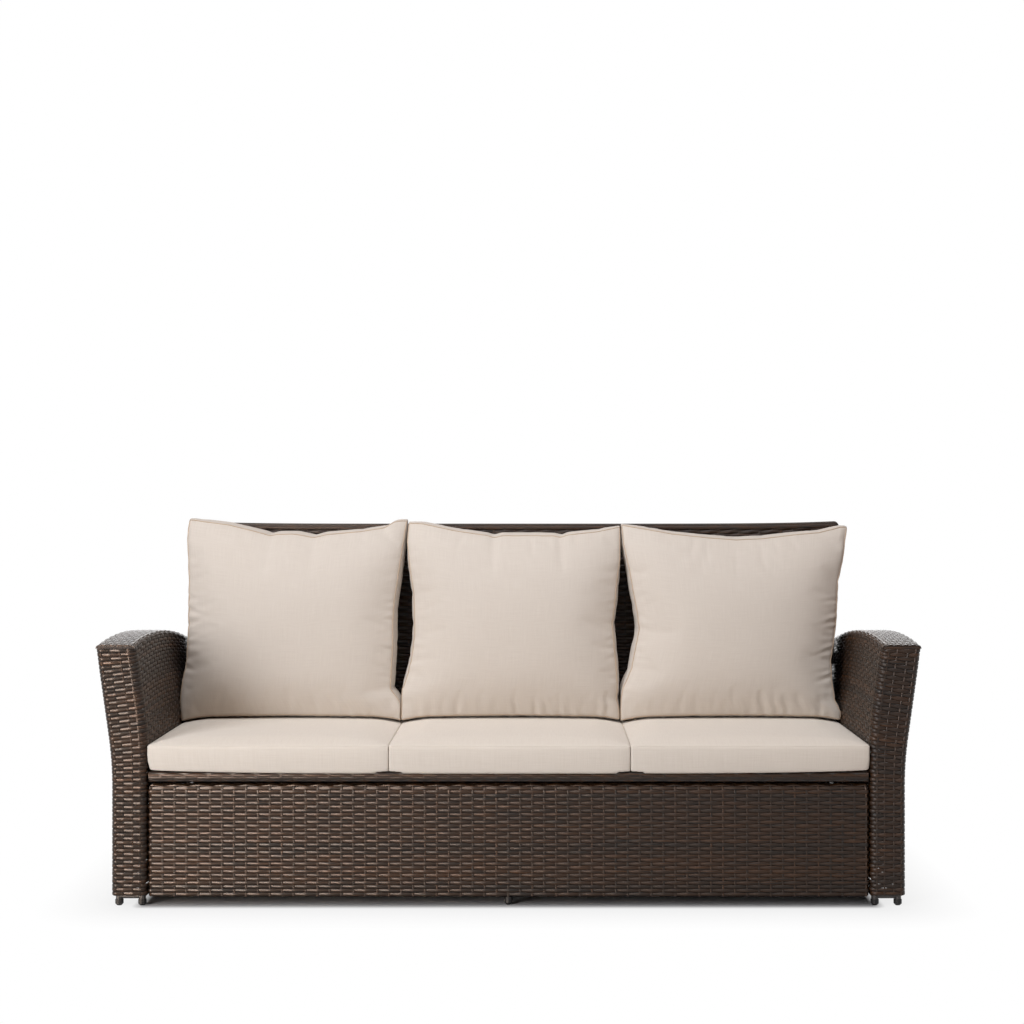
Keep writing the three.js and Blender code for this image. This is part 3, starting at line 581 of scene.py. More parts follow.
def rounded_top(low, high, thickness, strands):
    """Rows up a panel and over its half-round top: strand number, height, and how far drawn in."""
    radius = thickness / 2
    shoulder = high - radius
    arc = radius * math.pi / 2
    total = shoulder - low + arc
    levels = np.linspace(low, shoulder, UPRIGHT_ROWS)
    rows = [(strands * (z - low) / total, z, 0.0) for z in levels]
    for angle in quarter_turn(OVER_ROWS)[1:]:
        run = shoulder - low + radius * angle
        z = shoulder + radius * math.sin(angle)
        rows.append((strands * run / total, z, radius * (1 - math.cos(angle)) * TOP_CLOSING))
    return rows


def panel_guide(rows, plan, size, place):
    """The guide round a panel: place makes a point of shares across and through, and a height."""
    width, depth = size
    grid = []
    for _, height, inset in rows:
        line = []
        for _, a, b in plan:
            a = 0.5 + (a - 0.5) * (1 - 2 * inset / width)
            b = 0.5 + (b - 0.5) * (1 - 2 * inset / depth)
            line.append(place(a, b, height))
        grid.append(line)
    around = shares_of([number for number, *_ in plan])
    up = shares_of([number for number, *_ in rows])
    return guide_surface(grid, around, up)


SKIRT_STRANDS = 30
SKIRT_SPACES = 60
SKIRT_CORNER = 0.005
# The skirt's weave reaches this far past its solid at each end.
SKIRT_REACH = 0.0035

skirt_low, skirt_high = (Vector(corner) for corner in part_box("skirt_wicker"))
skirt_size = (
    skirt_high.x - skirt_low.x + 2 * (SKIRT_REACH - GUIDE_INSET),
    skirt_high.y - skirt_low.y - 2 * GUIDE_INSET,
)
skirt_plan = loop_plan(box_stakes(SKIRT_SPACES), skirt_size, SKIRT_CORNER)
skirt_rows = rounded_top(skirt_low.z, skirt_high.z - GUIDE_INSET, skirt_size[1], SKIRT_STRANDS)


def skirt_place(a, b, height):
    return (
        skirt_low.x - SKIRT_REACH + GUIDE_INSET + a * skirt_size[0],
        skirt_low.y + GUIDE_INSET + b * skirt_size[1],
        height,
    )


skirt_weave = woven(
    "skirt_weave",
    panel_guide(skirt_rows, skirt_plan, skirt_size, skirt_place),
    strands=SKIRT_STRANDS,
    spaces=2 * (SKIRT_SPACES + END_SPACES),
    seed=1,
)
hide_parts("skirt_wicker")
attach(skirt_weave, "root")


# Arms: each a box that flares outwards and has a long domed top, woven round its frame with one
# loop of strands, a second mat over the top, and strand wound along the front and rear edges.
ARM_STRANDS = 63
ARM_CORNER = 0.009
ARM_SHOULDER = 0.008
ARM_TOP_STRANDS = 11
ARM_DEPTH = 0.72
ARM_BASE_WIDTH = 0.0815
ARM_INNER = 0.8265
CREST_HEIGHT = 0.6085
CREST_SETBACK = 0.245
TOP_RADIUS = 2.48
FLARE_RADIUS = 0.9
FLARE_ANGLE = math.radians(8)
OUTER_FLARE_START = 0.27
INNER_FLARE_START = 0.33
ARM_HEM = 0.023
FRONT = cad_box[0][1]
# The front face's stakes, by shares of its width on the left arm. The right one mirrors it.
FACE_STAKES = (0.0, 0.27, 0.64, 0.91)
SIDE_SPACES = 25
SIDE_STAKE_SHARES = (0.016, 0.984)
# The loop's seam lies at this stake of the rear face.
SEAM_STAKE = 2
ARM_ROWS = 70
ARM_TOP_STEPS = 60
SHOULDER_STEPS = 7
# The rows tilt with the flare over this rise, and level out this far under the top edge.
ROW_TILT_RISE = 0.12
ROW_TILT_FADE = 0.05
TOP_CRIMP = 0.0009


def flare(height, start, inset):
    """How far an arm's side has leaned out at a height, for the side moved in by an inset."""
    radius = FLARE_RADIUS - inset
    rise = max(0.0, height - start)
    bend_rise = radius * math.sin(FLARE_ANGLE)
    bend = math.asin(min(rise, bend_rise) / radius)
    straight = max(0.0, rise - bend_rise) * math.tan(FLARE_ANGLE)
    return FLARE_RADIUS - radius * math.cos(bend) + straight


def arm_sides(height, inset):
    """How far an arm's inner and outer sides are from the sofa's middle, moved in by an inset."""
    inner = ARM_INNER + flare(height, INNER_FLARE_START, inset)
    outer = ARM_INNER + ARM_BASE_WIDTH + flare(height, OUTER_FLARE_START, -inset)
    return inner, outer


def arm_top(depth, inset):
    radius = TOP_RADIUS - inset
    setback = depth - CREST_SETBACK
    return CREST_HEIGHT - TOP_RADIUS + math.sqrt(radius * radius - setback * setback)


def arm_x(side, across, height, inset=GUIDE_INSET):
    """X at a share across an arm, from its outer side. Side is -1 on the left, 1 on the right."""
    inner, outer = arm_sides(height, inset)
    return side * (outer + (inner - outer) * across)


def arm_loop_guide(side):
    """The guide round an arm's four walls, and how many spaces between stakes it has."""
    size = (ARM_BASE_WIDTH - 2 * GUIDE_INSET, ARM_DEPTH - 2 * GUIDE_INSET)
    face = FACE_STAKES if side < 0 else tuple(1 - s for s in reversed(FACE_STAKES))
    back_face = tuple(1 - s for s in reversed(face))
    flank = np.linspace(*SIDE_STAKE_SHARES, SIDE_SPACES + 1)
    runs = (
        (2, back_face[SEAM_STAKE:]),
        (3, flank),
        (0, face),
        (1, flank),
        (2, back_face[: SEAM_STAKE + 1]),
    )
    places = [(wall, share) for wall, shares in runs for share in shares]
    stakes = [(number, *place) for number, place in enumerate(places)]
    plan = loop_plan(stakes, size, ARM_CORNER)
    grid, levels = [], np.linspace(0, 1, ARM_ROWS)
    for level in levels:
        line = []
        for _, a, b in plan:
            depth = GUIDE_INSET + b * size[1]
            top = arm_top(depth, GUIDE_INSET) - ARM_SHOULDER
            height = ARM_HEM + level * (top - ARM_HEM)
            across = a if side < 0 else 1 - a
            x = arm_x(side, across, height)
            # The rows lie square to the leaning sides.
            flared = min(1.0, max(0.0, (height - OUTER_FLARE_START) / ROW_TILT_RISE))
            fade = min(1.0, (top - height) / ROW_TILT_FADE)
            height += math.tan(FLARE_ANGLE) * flared * fade * (across - 0.5) * size[0]
            line.append((x, FRONT + depth, height))
        grid.append(line)
    around = shares_of([number for number, *_ in plan])
    return guide_surface(grid, around, levels), stakes[-1][0]


def shoulder_profile():
    """Across an arm's top, over both rounded shoulders: share across, drop, and run, in metres."""
    width = ARM_BASE_WIDTH - 2 * GUIDE_INSET
    points = []
    for angle in quarter_turn(SHOULDER_STEPS):
        points.append((ARM_SHOULDER * (1 - math.cos(angle)), ARM_SHOULDER * (1 - math.sin(angle))))
    points += [(width - x, drop) for x, drop in reversed(points)]
    run = run_along(points)
    return [(x / width, drop, r / run[-1]) for (x, drop), r in zip(points, run)]


def arm_top_guide(side):
    depths = np.linspace(GUIDE_INSET, ARM_DEPTH - GUIDE_INSET, ARM_TOP_STEPS)
    profile = shoulder_profile()
    if side < 0:
        depths = depths[::-1]
    grid = []
    for share, drop, _ in profile:
        line = []
        for depth in depths:
            height = arm_top(depth, GUIDE_INSET) - drop
            line.append((arm_x(side, share, height), FRONT + depth, height))
        grid.append(line)
    runs = [run for *_, run in profile]
    return guide_surface(grid, np.linspace(0, 1, ARM_TOP_STEPS), runs, closed=False)


# Flat strand is wound along the front and rear edges, from the middle of one shoulder's curve to
# the other's.
RIM_INSET = 0.0015
RIM_STRANDS = 2
RIM_SPACES = 6
RIM_START = 3


def rim_guide(side, rear):
    """The guide over an arm's rounded front or rear top edge."""
    profile = shoulder_profile()[RIM_START:-RIM_START]
    grid = []
    for angle in quarter_turn(SHOULDER_STEPS):
        in_from_end = RIM_INSET + ARM_CORNER * (1 - math.cos(angle))
        depth = ARM_DEPTH - in_from_end if rear else in_from_end
        line = []
        for share, drop, _ in profile:
            height = arm_top(depth, RIM_INSET) - drop - ARM_CORNER * (1 - math.sin(angle))
            line.append((arm_x(side, share, height, RIM_INSET), FRONT + depth, height))
        grid.append(line if (side < 0) != rear else line[::-1])
    across = shares_of([run for *_, run in profile])
    return guide_surface(grid, across, np.linspace(0, 1, SHOULDER_STEPS), closed=False)


for side, word in ((-1, "left"), (1, "right")):
    loop, spaces = arm_loop_guide(side)
    walls = woven(
        f"{word}_arm_weave",
        loop,
        strands=ARM_STRANDS,
        spaces=spaces,
        seed=20 + side,
    )
    top = woven(
        f"{word}_arm_top_weave",
        arm_top_guide(side),
        strands=ARM_TOP_STRANDS,
        spaces=SIDE_SPACES + 1,
        seed=30 + side,
        closed=False,
        **{"Crimp": TOP_CRIMP},
    )
    rims = [
        woven(
            f"{word}_arm_{end}_rim",
            rim_guide(side, rear),
            strands=RIM_STRANDS,
            spaces=RIM_SPACES,
            seed=60 + side + 2 * rear,
            closed=False,
            **{"Stakes": 0, "Crimp": 0.0},
        )
        for end, rear in (("front", False), ("rear", True))
    ]
    for mat in (walls, top, *rims):
        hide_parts(f"{word}_arm_wicker")
        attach(mat, "root")


# Back: a leaning panel woven like the skirt, as wide as the arms' inner faces let it be, with its
# top rail bound over the stakes. It is bolted to ears on the arms' frames.
BACK_LEAN = math.radians(10)
BACK_STRANDS = 96
BACK_SPACES = 62
BACK_TOP_WIDTH = 1.688
BACK_HEIGHT = 0.864
BACK_THICKNESS = 0.0274
BACK_HEM = 0.024
BACK_CORNER = 0.008
# Between the back and each arm.
PANEL_GAP = 0.004
# The top rail's ends reach this far past the panel, on the left and on the right.
RAIL_END_REACHES = (0.008, 0.0185)
RAIL_END_FOOT = 0.829
RAIL_END_RISE = 0.009
# The lift of the whole rail, and what its bow adds at the ends.
RAIL_LIFT = 0.0005
RAIL_END_LIFT = 0.0063
RAIL_BOW_FOOT = 0.6
RAIL_BOW_POWER = 6
SEAT_REAR = 0.581
DECK_BOTTOM = 0.281
# The topmost strands make way for the rail's binding.
BOUND_STRANDS = 2
BACK_PIECES = ("lower", "middle", "upper")
slope = 1 / math.cos(BACK_LEAN)
back_foot = SEAT_REAR + BACK_THICKNESS / 2 * slope - DECK_BOTTOM * math.tan(BACK_LEAN)
back_size = (BACK_TOP_WIDTH - 2 * GUIDE_INSET, BACK_THICKNESS - 2 * GUIDE_INSET)
back_peak = BACK_HEIGHT * slope - BACK_THICKNESS / 2 * math.tan(BACK_LEAN) - GUIDE_INSET
back_rows = rounded_top(BACK_HEM * slope, back_peak, back_size[1], BACK_STRANDS)
back_plan = loop_plan(box_stakes(BACK_SPACES), back_size, BACK_CORNER)


def back_point(x, through, up):
    """A point on the back, from its place across and through it and its run up the slope.

    The top rail is slightly bowed, with its ends higher than its middle.
    """
    share = max(0.0, up / slope - RAIL_BOW_FOOT) / (BACK_HEIGHT - RAIL_BOW_FOOT)
    bow = RAIL_END_LIFT * (2 * abs(x) / BACK_TOP_WIDTH) ** RAIL_BOW_POWER
    up += share**2 * (RAIL_LIFT + bow)
    return (
        x,
        FRONT + back_foot + through * math.cos(BACK_LEAN) + up * math.sin(BACK_LEAN),
        up * math.cos(BACK_LEAN) - through * math.sin(BACK_LEAN),
    )


def back_place(a, b, up):
    """A share across and through the back, and a run up its slope, as a point."""
    half = min(arm_sides(up / slope, 0)[0] - PANEL_GAP, BACK_TOP_WIDTH / 2) - GUIDE_INSET
    rise = min(1.0, max(0.0, (up / slope - RAIL_END_FOOT) / RAIL_END_RISE))
    half += RAIL_END_REACHES[a > 0.5] * math.sin(rise * math.pi / 2)
    return back_point((2 * a - 1) * half, (b - 0.5) * back_size[1], up)


def rows_between(rows, low, high):
    """The rows of a guide from one strand number to another, cut exactly there."""
    numbers = [row[0] for row in rows]
    kept = [n for n in numbers if low < n < high]
    heights = [row[1] for row in rows]
    insets = [row[2] for row in rows]
    return [
        (n, float(np.interp(n, numbers, heights)), float(np.interp(n, numbers, insets)))
        for n in [low, *kept, high]
    ]


for part, word in enumerate(BACK_PIECES):
    low, high = (BACK_STRANDS * share // len(BACK_PIECES) for share in (part, part + 1))
    high = min(high, BACK_STRANDS - BOUND_STRANDS)
    mat = woven(
        f"back_weave_{word}",
        panel_guide(rows_between(back_rows, low, high), back_plan, back_size, back_place),
        strands=high - low,
        spaces=2 * (BACK_SPACES + END_SPACES),
        seed=40 + part,
    )
    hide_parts("back_wicker")
    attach(mat, "root")

# Strands laid lengthwise bind the top rail, and close round its ends.
BINDING_STRANDS = 5
BINDING_SPACES = 140
BINDING_ANGLE = math.radians(92)
BINDING_RISE = 0.0035
BINDING_END = 0.012
BINDING_END_TURN = math.radians(80)
BINDING_END_STEPS = 7
BINDING_LENGTHS = 80
BINDING_ROWS = 9


def binding_guide():
    radius = back_size[1] / 2
    shoulder = back_peak - radius
    left, right = (BACK_TOP_WIDTH / 2 + reach for reach in RAIL_END_REACHES)
    turns = np.linspace(0, BINDING_END_TURN, BINDING_END_STEPS)
    ends = [(BINDING_END * (1 - math.sin(turn)), math.cos(turn)) for turn in turns]
    columns = [(-left + inwards, size) for inwards, size in reversed(ends)]
    columns += [(x, 1.0) for x in np.linspace(-left, right, BINDING_LENGTHS)[1:-1]]
    columns += [(right - inwards, size) for inwards, size in ends]
    grid = []
    for angle in np.linspace(-BINDING_ANGLE, BINDING_ANGLE, BINDING_ROWS):
        line = []
        for x, size in columns:
            reach = (radius + BINDING_RISE) * size
            line.append(back_point(x, reach * math.sin(angle), shoulder + reach * math.cos(angle)))
        grid.append(line)
    across = shares_of([x for x, _ in columns])
    return guide_surface(grid, across, np.linspace(0, 1, BINDING_ROWS), closed=False)


binding = woven(
    "back_rail_binding",
    binding_guide(),
    strands=BINDING_STRANDS,
    spaces=BINDING_SPACES,
    seed=70,
    closed=False,
    **{"Stakes": 0, "Crimp": 0.0},
)
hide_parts("back_wicker")
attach(binding, "root")


# Seat deck: a tray of square tube and bearers, bolted between the arms, woven over its top and
# front edge and turned in under the rails.
DECK_STRANDS = 76
DECK_SPACES = 60
# The radius of its edges.
DECK_EASE = 0.009
# How far the weave is turned in under the rails.
DECK_LIP = 0.026
DECK_GUIDE_INSET = 0.0011
DECK_REACH = 0.002
DECK_CORNER_STEPS = 6
# The deck's strand is thinner than the rest.
DECK_STRAND = {
    "Steps per stake": 3,
    "Crimp": TOP_CRIMP,
    "Strand thickness": 0.0013,
    "Stake thickness": 0.0008,
}
deck_low, deck_high = (Vector(corner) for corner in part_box("seat_deck_wicker"))


def deck_guide():
    y0, y1 = deck_low.y + DECK_GUIDE_INSET, deck_high.y - DECK_GUIDE_INSET
    z0, z1 = deck_low.z + DECK_GUIDE_INSET, deck_high.z - DECK_GUIDE_INSET
    corners = [(y0 + DECK_LIP, z0), (y0, z0), (y0, z1), (y1, z1), (y1, z0), (y1 - DECK_LIP, z0)]
    line = [corners[0]]
    for before, here, ahead in zip(corners, corners[1:], corners[2:]):
        way_in = (Vector(here) - Vector(before)).normalized()
        way_out = (Vector(ahead) - Vector(here)).normalized()
        for angle in quarter_turn(DECK_CORNER_STEPS):
            back_off = way_in * (1 - math.sin(angle)) - way_out * (1 - math.cos(angle))
            line.append(tuple(Vector(here) - DECK_EASE * back_off))
    line.append(corners[-1])
    run = run_along(line)
    reach = DECK_REACH - DECK_GUIDE_INSET
    ends = (deck_low.x - reach, deck_high.x + reach)
    grid = [[(x, y, z) for x in ends] for y, z in line]
    return guide_surface(grid, [0, 1], run / run[-1], closed=False)


deck_weave = woven(
    "seat_deck_weave",
    deck_guide(),
    strands=DECK_STRANDS,
    spaces=DECK_SPACES,
    seed=50,
    closed=False,
    **DECK_STRAND,
)
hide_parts("seat_deck_wicker")
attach(deck_weave, "root")


# Seat cushions: three loose foam pads in zipped covers of woven polyester, each cut as two panels
# and a boxing strip. They lie on the deck side by side and fill it from arm to arm.
PAD_CELL = 0.008
STRIP_CELLS = 8
# Frames of simulation until a cover is filled.
COVER_FRAMES = 20
NO_LENGTH = 1e-9
# A cushion lies this far clear of what it touches.
REST_GAP = 0.001
# The pads meet at these places across the sofa, and lie between the arms.
SEAT_PAD_MEETINGS = (-0.8265, -0.2740, 0.2795, 0.8265)
# A pad is cut this much wider than its place at each side.
SEAT_PAD_SQUEEZE = 0.0045
SEAT_PAD_SETBACK = 0.001
SEAT_PAD_DEPTH = 0.577
# How far the corners are drawn in, below and on top, and the lower edge beside each arm.
SEAT_PAD_CORNERS = (0.006, 0.003)
SEAT_PAD_TAPERS = (0.0055, 0.002)
SEAT_PAD_OVERHANG = 0.0035
SEAT_PAD_END_RISE = 0.008
SEAT_PAD_DROOP = 0.0055
SEAT_PAD_THICKNESS = 0.058
SEAT_PAD_CROWN = 0.012
SEAT_PAD_FULLNESS = 0.3
SEAT_PAD_BULGE = 0.003
SEAT_PAD_SEAM = 0.0006
SEAT_PAD_FILLING = {"pressure": 3.0, "ease": 0.0, "cap": 0.005, "rise": 0.005}
# A higher power keeps a curve closer to its end.
SEAT_PAD_CORNER_POWER = 10
SEAT_PAD_RISE_POWER = 4
SEAT_PAD_DROOP_POWER = 8


def panel_between(left, right, bottom, top):
    """A grid of points spanned by four edges, rows upwards."""
    across = np.linspace(0, 1, len(bottom))[None, :, None]
    up = np.linspace(0, 1, len(left))[:, None, None]
    ruled_up = (1 - up) * bottom[None] + up * top[None]
    ruled_across = (1 - across) * left[:, None] + across * right[:, None]
    low = (1 - across) * bottom[0] + across * bottom[-1]
    high = (1 - across) * top[0] + across * top[-1]
    return ruled_up + ruled_across - (1 - up) * low - up * high


def sewn_cover(name, front, rear, bulge):
    """A closed cover: two panels and the boxing strip between their rims.

    The UV map holds the cloth's own run in metres, with the rear panel 1 m along and the strip
    2 m. Returns the piece and its two seams.
    """
    rows, columns = front.shape[:2]
    number = np.arange(rows * columns).reshape(rows, columns)
    rim = [*number[0, :-1], *number[:-1, -1], *number[-1, :0:-1], *number[:0:-1, 0]]
    count = rows * columns
    flat_front, flat_rear = front.reshape(-1, 3), rear.reshape(-1, 3)
    middle = flat_front[rim].mean(axis=0)
    outwards = flat_front[rim] - middle
    thickness = flat_rear[rim[0]] - flat_front[rim[0]]
    thickness /= np.linalg.norm(thickness)
    outwards -= np.outer(outwards @ thickness, thickness)
    outwards /= np.linalg.norm(outwards, axis=1)[:, None]
    strips = []
    for step in range(1, STRIP_CELLS):
        share = step / STRIP_CELLS
        line = flat_front[rim] * (1 - share) + flat_rear[rim] * share
        strips.append(line + outwards * bulge * math.sin(math.pi * share))
    points = np.concatenate([flat_front, flat_rear, *strips])
    rings = [rim]
    for step in range(STRIP_CELLS - 1):
        start = 2 * count + step * len(rim)
        rings.append(list(range(start, start + len(rim))))
    rings.append([count + i for i in rim])
    faces, places = [], []
    cell = PAD_CELL
    for j in range(rows - 1):
        for i in range(columns - 1):
            corners = [(i, j), (i + 1, j), (i + 1, j + 1), (i, j + 1)]
            faces.append([number[b, a] for a, b in corners])
            places += [(a * cell, b * cell) for a, b in corners]
            faces.append([count + number[b, a] for a, b in corners[::-1]])
            places += [(1 + a * cell, b * cell) for a, b in corners[::-1]]
    for step in range(STRIP_CELLS):
        for i in range(len(rim)):
            ahead = (i + 1) % len(rim)
            near, far = rings[step], rings[step + 1]
            faces.append([near[i], far[i], far[ahead], near[ahead]])
            corners = [(i, step), (i, step + 1), (i + 1, step + 1), (i + 1, step)]
            places += [(2 + a * cell, b * cell) for a, b in corners]
    mesh = bpy.data.meshes.new(name)
    mesh.from_pydata(points.tolist(), [], [[int(i) for i in face] for face in faces])
    mesh.polygons.foreach_set("use_smooth", np.ones(len(faces), bool))
    mesh.uv_layers.new(name="cloth").data.foreach_set("uv", np.array(places).ravel())
    return put(name, mesh), [[int(i) for i in rings[0]], [int(i) for i in rings[-1]]]


def mesh_points(mesh):
    points = np.empty(3 * len(mesh.vertices))
    mesh.vertices.foreach_get("co", points)
    return points.reshape(-1, 3)


def set_points(mesh, points):
    mesh.vertices.foreach_set("co", points.ravel())
    mesh.update()


def filled(piece, seams, pressure, ease, cap, rise):
    """Fills a cover by cloth simulation: the seams keep their line and the cloth between swells.

    No point moves further than the cap, or rises further than the rise, as filling settles.
    """
    start = mesh_points(piece.data)
    group = piece.vertex_groups.new(name="seams")
    group.add([i for seam in seams for i in seam], 1.0, "REPLACE")
    cloth = piece.modifiers.new("Filling", "CLOTH")
    cloth.settings.vertex_group_mass = "seams"
    cloth.settings.use_pressure = True
    cloth.settings.uniform_pressure_force = pressure
    cloth.settings.shrink_min = -ease
    cloth.settings.effector_weights.gravity = 0
    cloth.point_cache.frame_end = COVER_FRAMES
    scene = bpy.context.scene
    for frame_number in range(1, COVER_FRAMES + 1):
        scene.frame_set(frame_number)
    swollen = piece.evaluated_get(bpy.context.evaluated_depsgraph_get())
    moved = mesh_points(swollen.data) - start
    length = np.linalg.norm(moved, axis=1)
    moved *= (np.minimum(length, cap) / np.maximum(length, NO_LENGTH))[:, None]
    moved[:, 2] = np.minimum(moved[:, 2], rise)
    piece.modifiers.clear()
    piece.vertex_groups.clear()
    set_points(piece.data, start + moved)
    scene.frame_set(1)


def smoothed(piece):
    """One subdivision, applied."""
    modifier = piece.modifiers.new("Smooth", "SUBSURF")
    modifier.levels = modifier.render_levels = 1
    applied(piece)


def cord_round(name, points, radius, sides):
    """A closed tube through points, for a seam or its piping."""
    curve = bpy.data.curves.new(name, "CURVE")
    curve.dimensions = "3D"
    curve.bevel_depth = radius
    curve.bevel_resolution = sides
    spline = curve.splines.new("POLY")
    spline.points.add(len(points) - 1)
    spline.points.foreach_set("co", np.hstack([points, np.ones((len(points), 1))]).ravel())
    spline.use_cyclic_u = True
    thread = put(name, curve)
    graph = bpy.context.evaluated_depsgraph_get()
    mesh = bpy.data.meshes.new_from_object(thread.evaluated_get(graph))
    bpy.data.objects.remove(thread)
    return mesh


def sew(piece, seams, radius, sides, slot=0):
    """Joins a cord along each seam to the piece's mesh, in one of its material slots."""
    points = mesh_points(piece.data)
    whole = bmesh.new()
    whole.from_mesh(piece.data)
    covered = len(whole.faces)
    for seam in seams:
        whole.from_mesh(cord_round(piece.name, points[seam], radius, sides))
    whole.faces.ensure_lookup_table()
    for face in whole.faces[covered:]:
        face.material_index = slot
    whole.to_mesh(piece.data)
    whole.free()
    piece.data.polygons.foreach_set("use_smooth", np.ones(len(piece.data.polygons), bool))


# The threads are 0.5 mm apart, and are drawn 1.5 mm apart so that the weave shows.
THREAD_SPACING = 0.0015
# A yarn's slubs repeat this often to the metre, for the warp and for the weft.
SLUB_SCALES = ((16.0, 700.0, 1.0), (700.0, 16.0, 1.0))


def canvas_material(name, colours):
    """Polyester canvas in a plain weave, spun yarn, piece-dyed cream.

    It is matt, with a faint bloom of loose fibre at a grazing view, and its yarns are uneven: each
    has slubs some 60 mm long.
    """
    material, tree, shader = new_material(name)
    cloth = add_node(tree, "ShaderNodeUVMap", uv_map="cloth")
    turns = add_node(
        tree,
        "ShaderNodeVectorMath",
        {0: cloth, "Scale": math.pi / THREAD_SPACING},
        operation="SCALE",
    )
    waves = add_node(tree, "ShaderNodeVectorMath", {0: turns}, operation="SINE")
    wave = add_node(tree, "ShaderNodeSeparateXYZ", {0: waves}).outputs
    crossings = add_node(tree, "ShaderNodeMath", {0: wave[0], 1: wave[1]}, operation="MULTIPLY")
    slubs = []
    for scale in SLUB_SCALES:
        stretched = add_node(tree, "ShaderNodeMapping", {"Vector": cloth, "Scale": scale})
        inputs = {"Vector": stretched, "Scale": 1.0, "Detail": 2.0}
        slubs.append(add_node(tree, "ShaderNodeTexNoise", inputs))
    slub = add_node(tree, "ShaderNodeMath", {0: slubs[0], 1: slubs[1]}, operation="ADD")
    shade = add_node(tree, "ShaderNodeMapRange", {0: slub, 1: 0.7, 2: 1.3, 3: 0.0, 4: 1.0})
    dyed = add_node(
        tree,
        "ShaderNodeMix",
        {0: shade, 6: linear(colours[0]), 7: linear(colours[1])},
        data_type="RGBA",
    ).outputs[2]
    height = add_node(
        tree, "ShaderNodeMath", {0: crossings, 1: 0.35, 2: slub}, operation="MULTIPLY_ADD"
    )
    relief = add_node(
        tree, "ShaderNodeBump", {"Height": height, "Strength": 0.15, "Distance": 0.0003}
    )
    feed(shader, {"Base Color": dyed, "Normal": relief, "Roughness": 0.92})
    feed(shader, {"Specular IOR Level": 0.2, "Sheen Weight": 0.15, "Sheen Roughness": 0.5})
    return material


canvas = canvas_material("Polyester canvas, woven", ("#d6cbbd", "#ded4c7"))


def seat_pad(index, word):
    """One pad, as panels lying on the deck: the front panel is its top.

    It is cut wider than its place, so its neighbours press its sides flat. Its lower front edge
    hangs a little over the deck's, and lifts towards the arms.
    """
    low, high = SEAT_PAD_MEETINGS[index : index + 2]
    columns = round((high - low) / PAD_CELL) + 1
    rows = round(SEAT_PAD_DEPTH / PAD_CELL) + 1
    u = np.linspace(-1, 1, columns)
    v = np.linspace(-1, 1, rows)
    near = FRONT + SEAT_PAD_SETBACK
    far = near + SEAT_PAD_DEPTH
    rest = deck_high.z + REST_GAP
    panels = []
    for is_top in (True, False):
        corner = SEAT_PAD_CORNERS[is_top]
        left_taper = 0 if is_top or index > 0 else SEAT_PAD_TAPERS[0]
        right_taper = 0 if is_top or index < 2 else SEAT_PAD_TAPERS[1]
        left_x = low - SEAT_PAD_SQUEEZE + left_taper
        right_x = high + SEAT_PAD_SQUEEZE - right_taper
        x = np.linspace(left_x + corner, right_x - corner, columns)
        level = rest + (SEAT_PAD_THICKNESS if is_top else 0)
        lift = SEAT_PAD_END_RISE * (x / ARM_INNER) ** SEAT_PAD_RISE_POWER - SEAT_PAD_DROOP
        front_z = level + (0 if is_top else lift)
        front_y = near - (0 if is_top else SEAT_PAD_OVERHANG)
        ends = corner * u**SEAT_PAD_CORNER_POWER
        sides = corner * v**SEAT_PAD_CORNER_POWER
        run = near + corner + (v + 1) / 2 * (SEAT_PAD_DEPTH - 2 * corner)
        fade = np.clip(-v, 0, 1) ** SEAT_PAD_DROOP_POWER
        bottom = np.stack([x, front_y + ends, front_z + np.zeros(columns)], axis=-1)
        top = np.stack([x, far - ends, np.full(columns, level)], axis=-1)
        left_z = level + (bottom[0, 2] - level) * fade
        right_z = level + (bottom[-1, 2] - level) * fade
        left = np.stack([left_x + sides, run, left_z], axis=-1)
        right = np.stack([right_x - sides, run, right_z], axis=-1)
        panel = panel_between(left, right, bottom, top)
        if is_top:
            crown = ((1 - u[None] ** 2) * (1 - v[:, None] ** 2)) ** SEAT_PAD_FULLNESS
            panel[..., 2] += SEAT_PAD_CROWN * crown
        panels.append(panel)
    pad, seams = sewn_cover(f"seat_pad_{word}", *panels, SEAT_PAD_BULGE)
    filled(pad, seams, **SEAT_PAD_FILLING)
    smoothed(pad)
    points = mesh_points(pad.data)
    over_deck = points[:, 1] > deck_low.y - REST_GAP
    points[over_deck, 2] = np.maximum(points[over_deck, 2], rest)
    clear = [REST_GAP if abs(place) == ARM_INNER else SEAT_PAD_SEAM for place in (low, high)]
    points[:, 0] = np.clip(points[:, 0], low + clear[0], high - clear[1])
    set_points(pad.data, points)
    sew(pad, seams, SEAT_PAD_SEAM, 0)
    pad.data.materials.clear()
    pad.data.materials.append(canvas)
    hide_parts(f"seat_cushion_{word}")
    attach(pad, "root")
    return pad


seat_pads = [seat_pad(index, word) for index, word in enumerate(("left", "middle", "right"))]


# Back cushions: three plump pillows of fibre filling in the same cloth, two panels and a boxing
# strip with a piped seam round each panel. They stand on the seat cushions and lean on the back.
BACK_PAD_LEAN = 0.27
BACK_PAD_BASE = 0.3885
BACK_PAD_MIDDLE = 0.4756
BACK_PAD_RIM = 0.110
# The boxing narrows to these at the lower and the upper corners.
BACK_PAD_CORNER_RIMS = (0.084, 0.044)
# How far the front and the rear swell past it.
BACK_PAD_CROWNS = (0.050, 0.036)
BACK_PAD_FULLNESS = 0.62
BACK_PAD_BULGE = 0.004
BACK_PAD_CLOTH = (0.56, 0.49)
BACK_PAD_FILLING = {"pressure": 4.0, "ease": 0.01, "cap": 0.026, "rise": 0.003}
# A pillow gives way this far up from its foot as it stands.
BACK_PAD_SETTLING = 0.07
PIPING = 0.0015
# Where neighbouring pads meet: X at their base and at their top.
BACK_PAD_MEETINGS = ((-0.276, -0.268), (0.274, 0.2815))

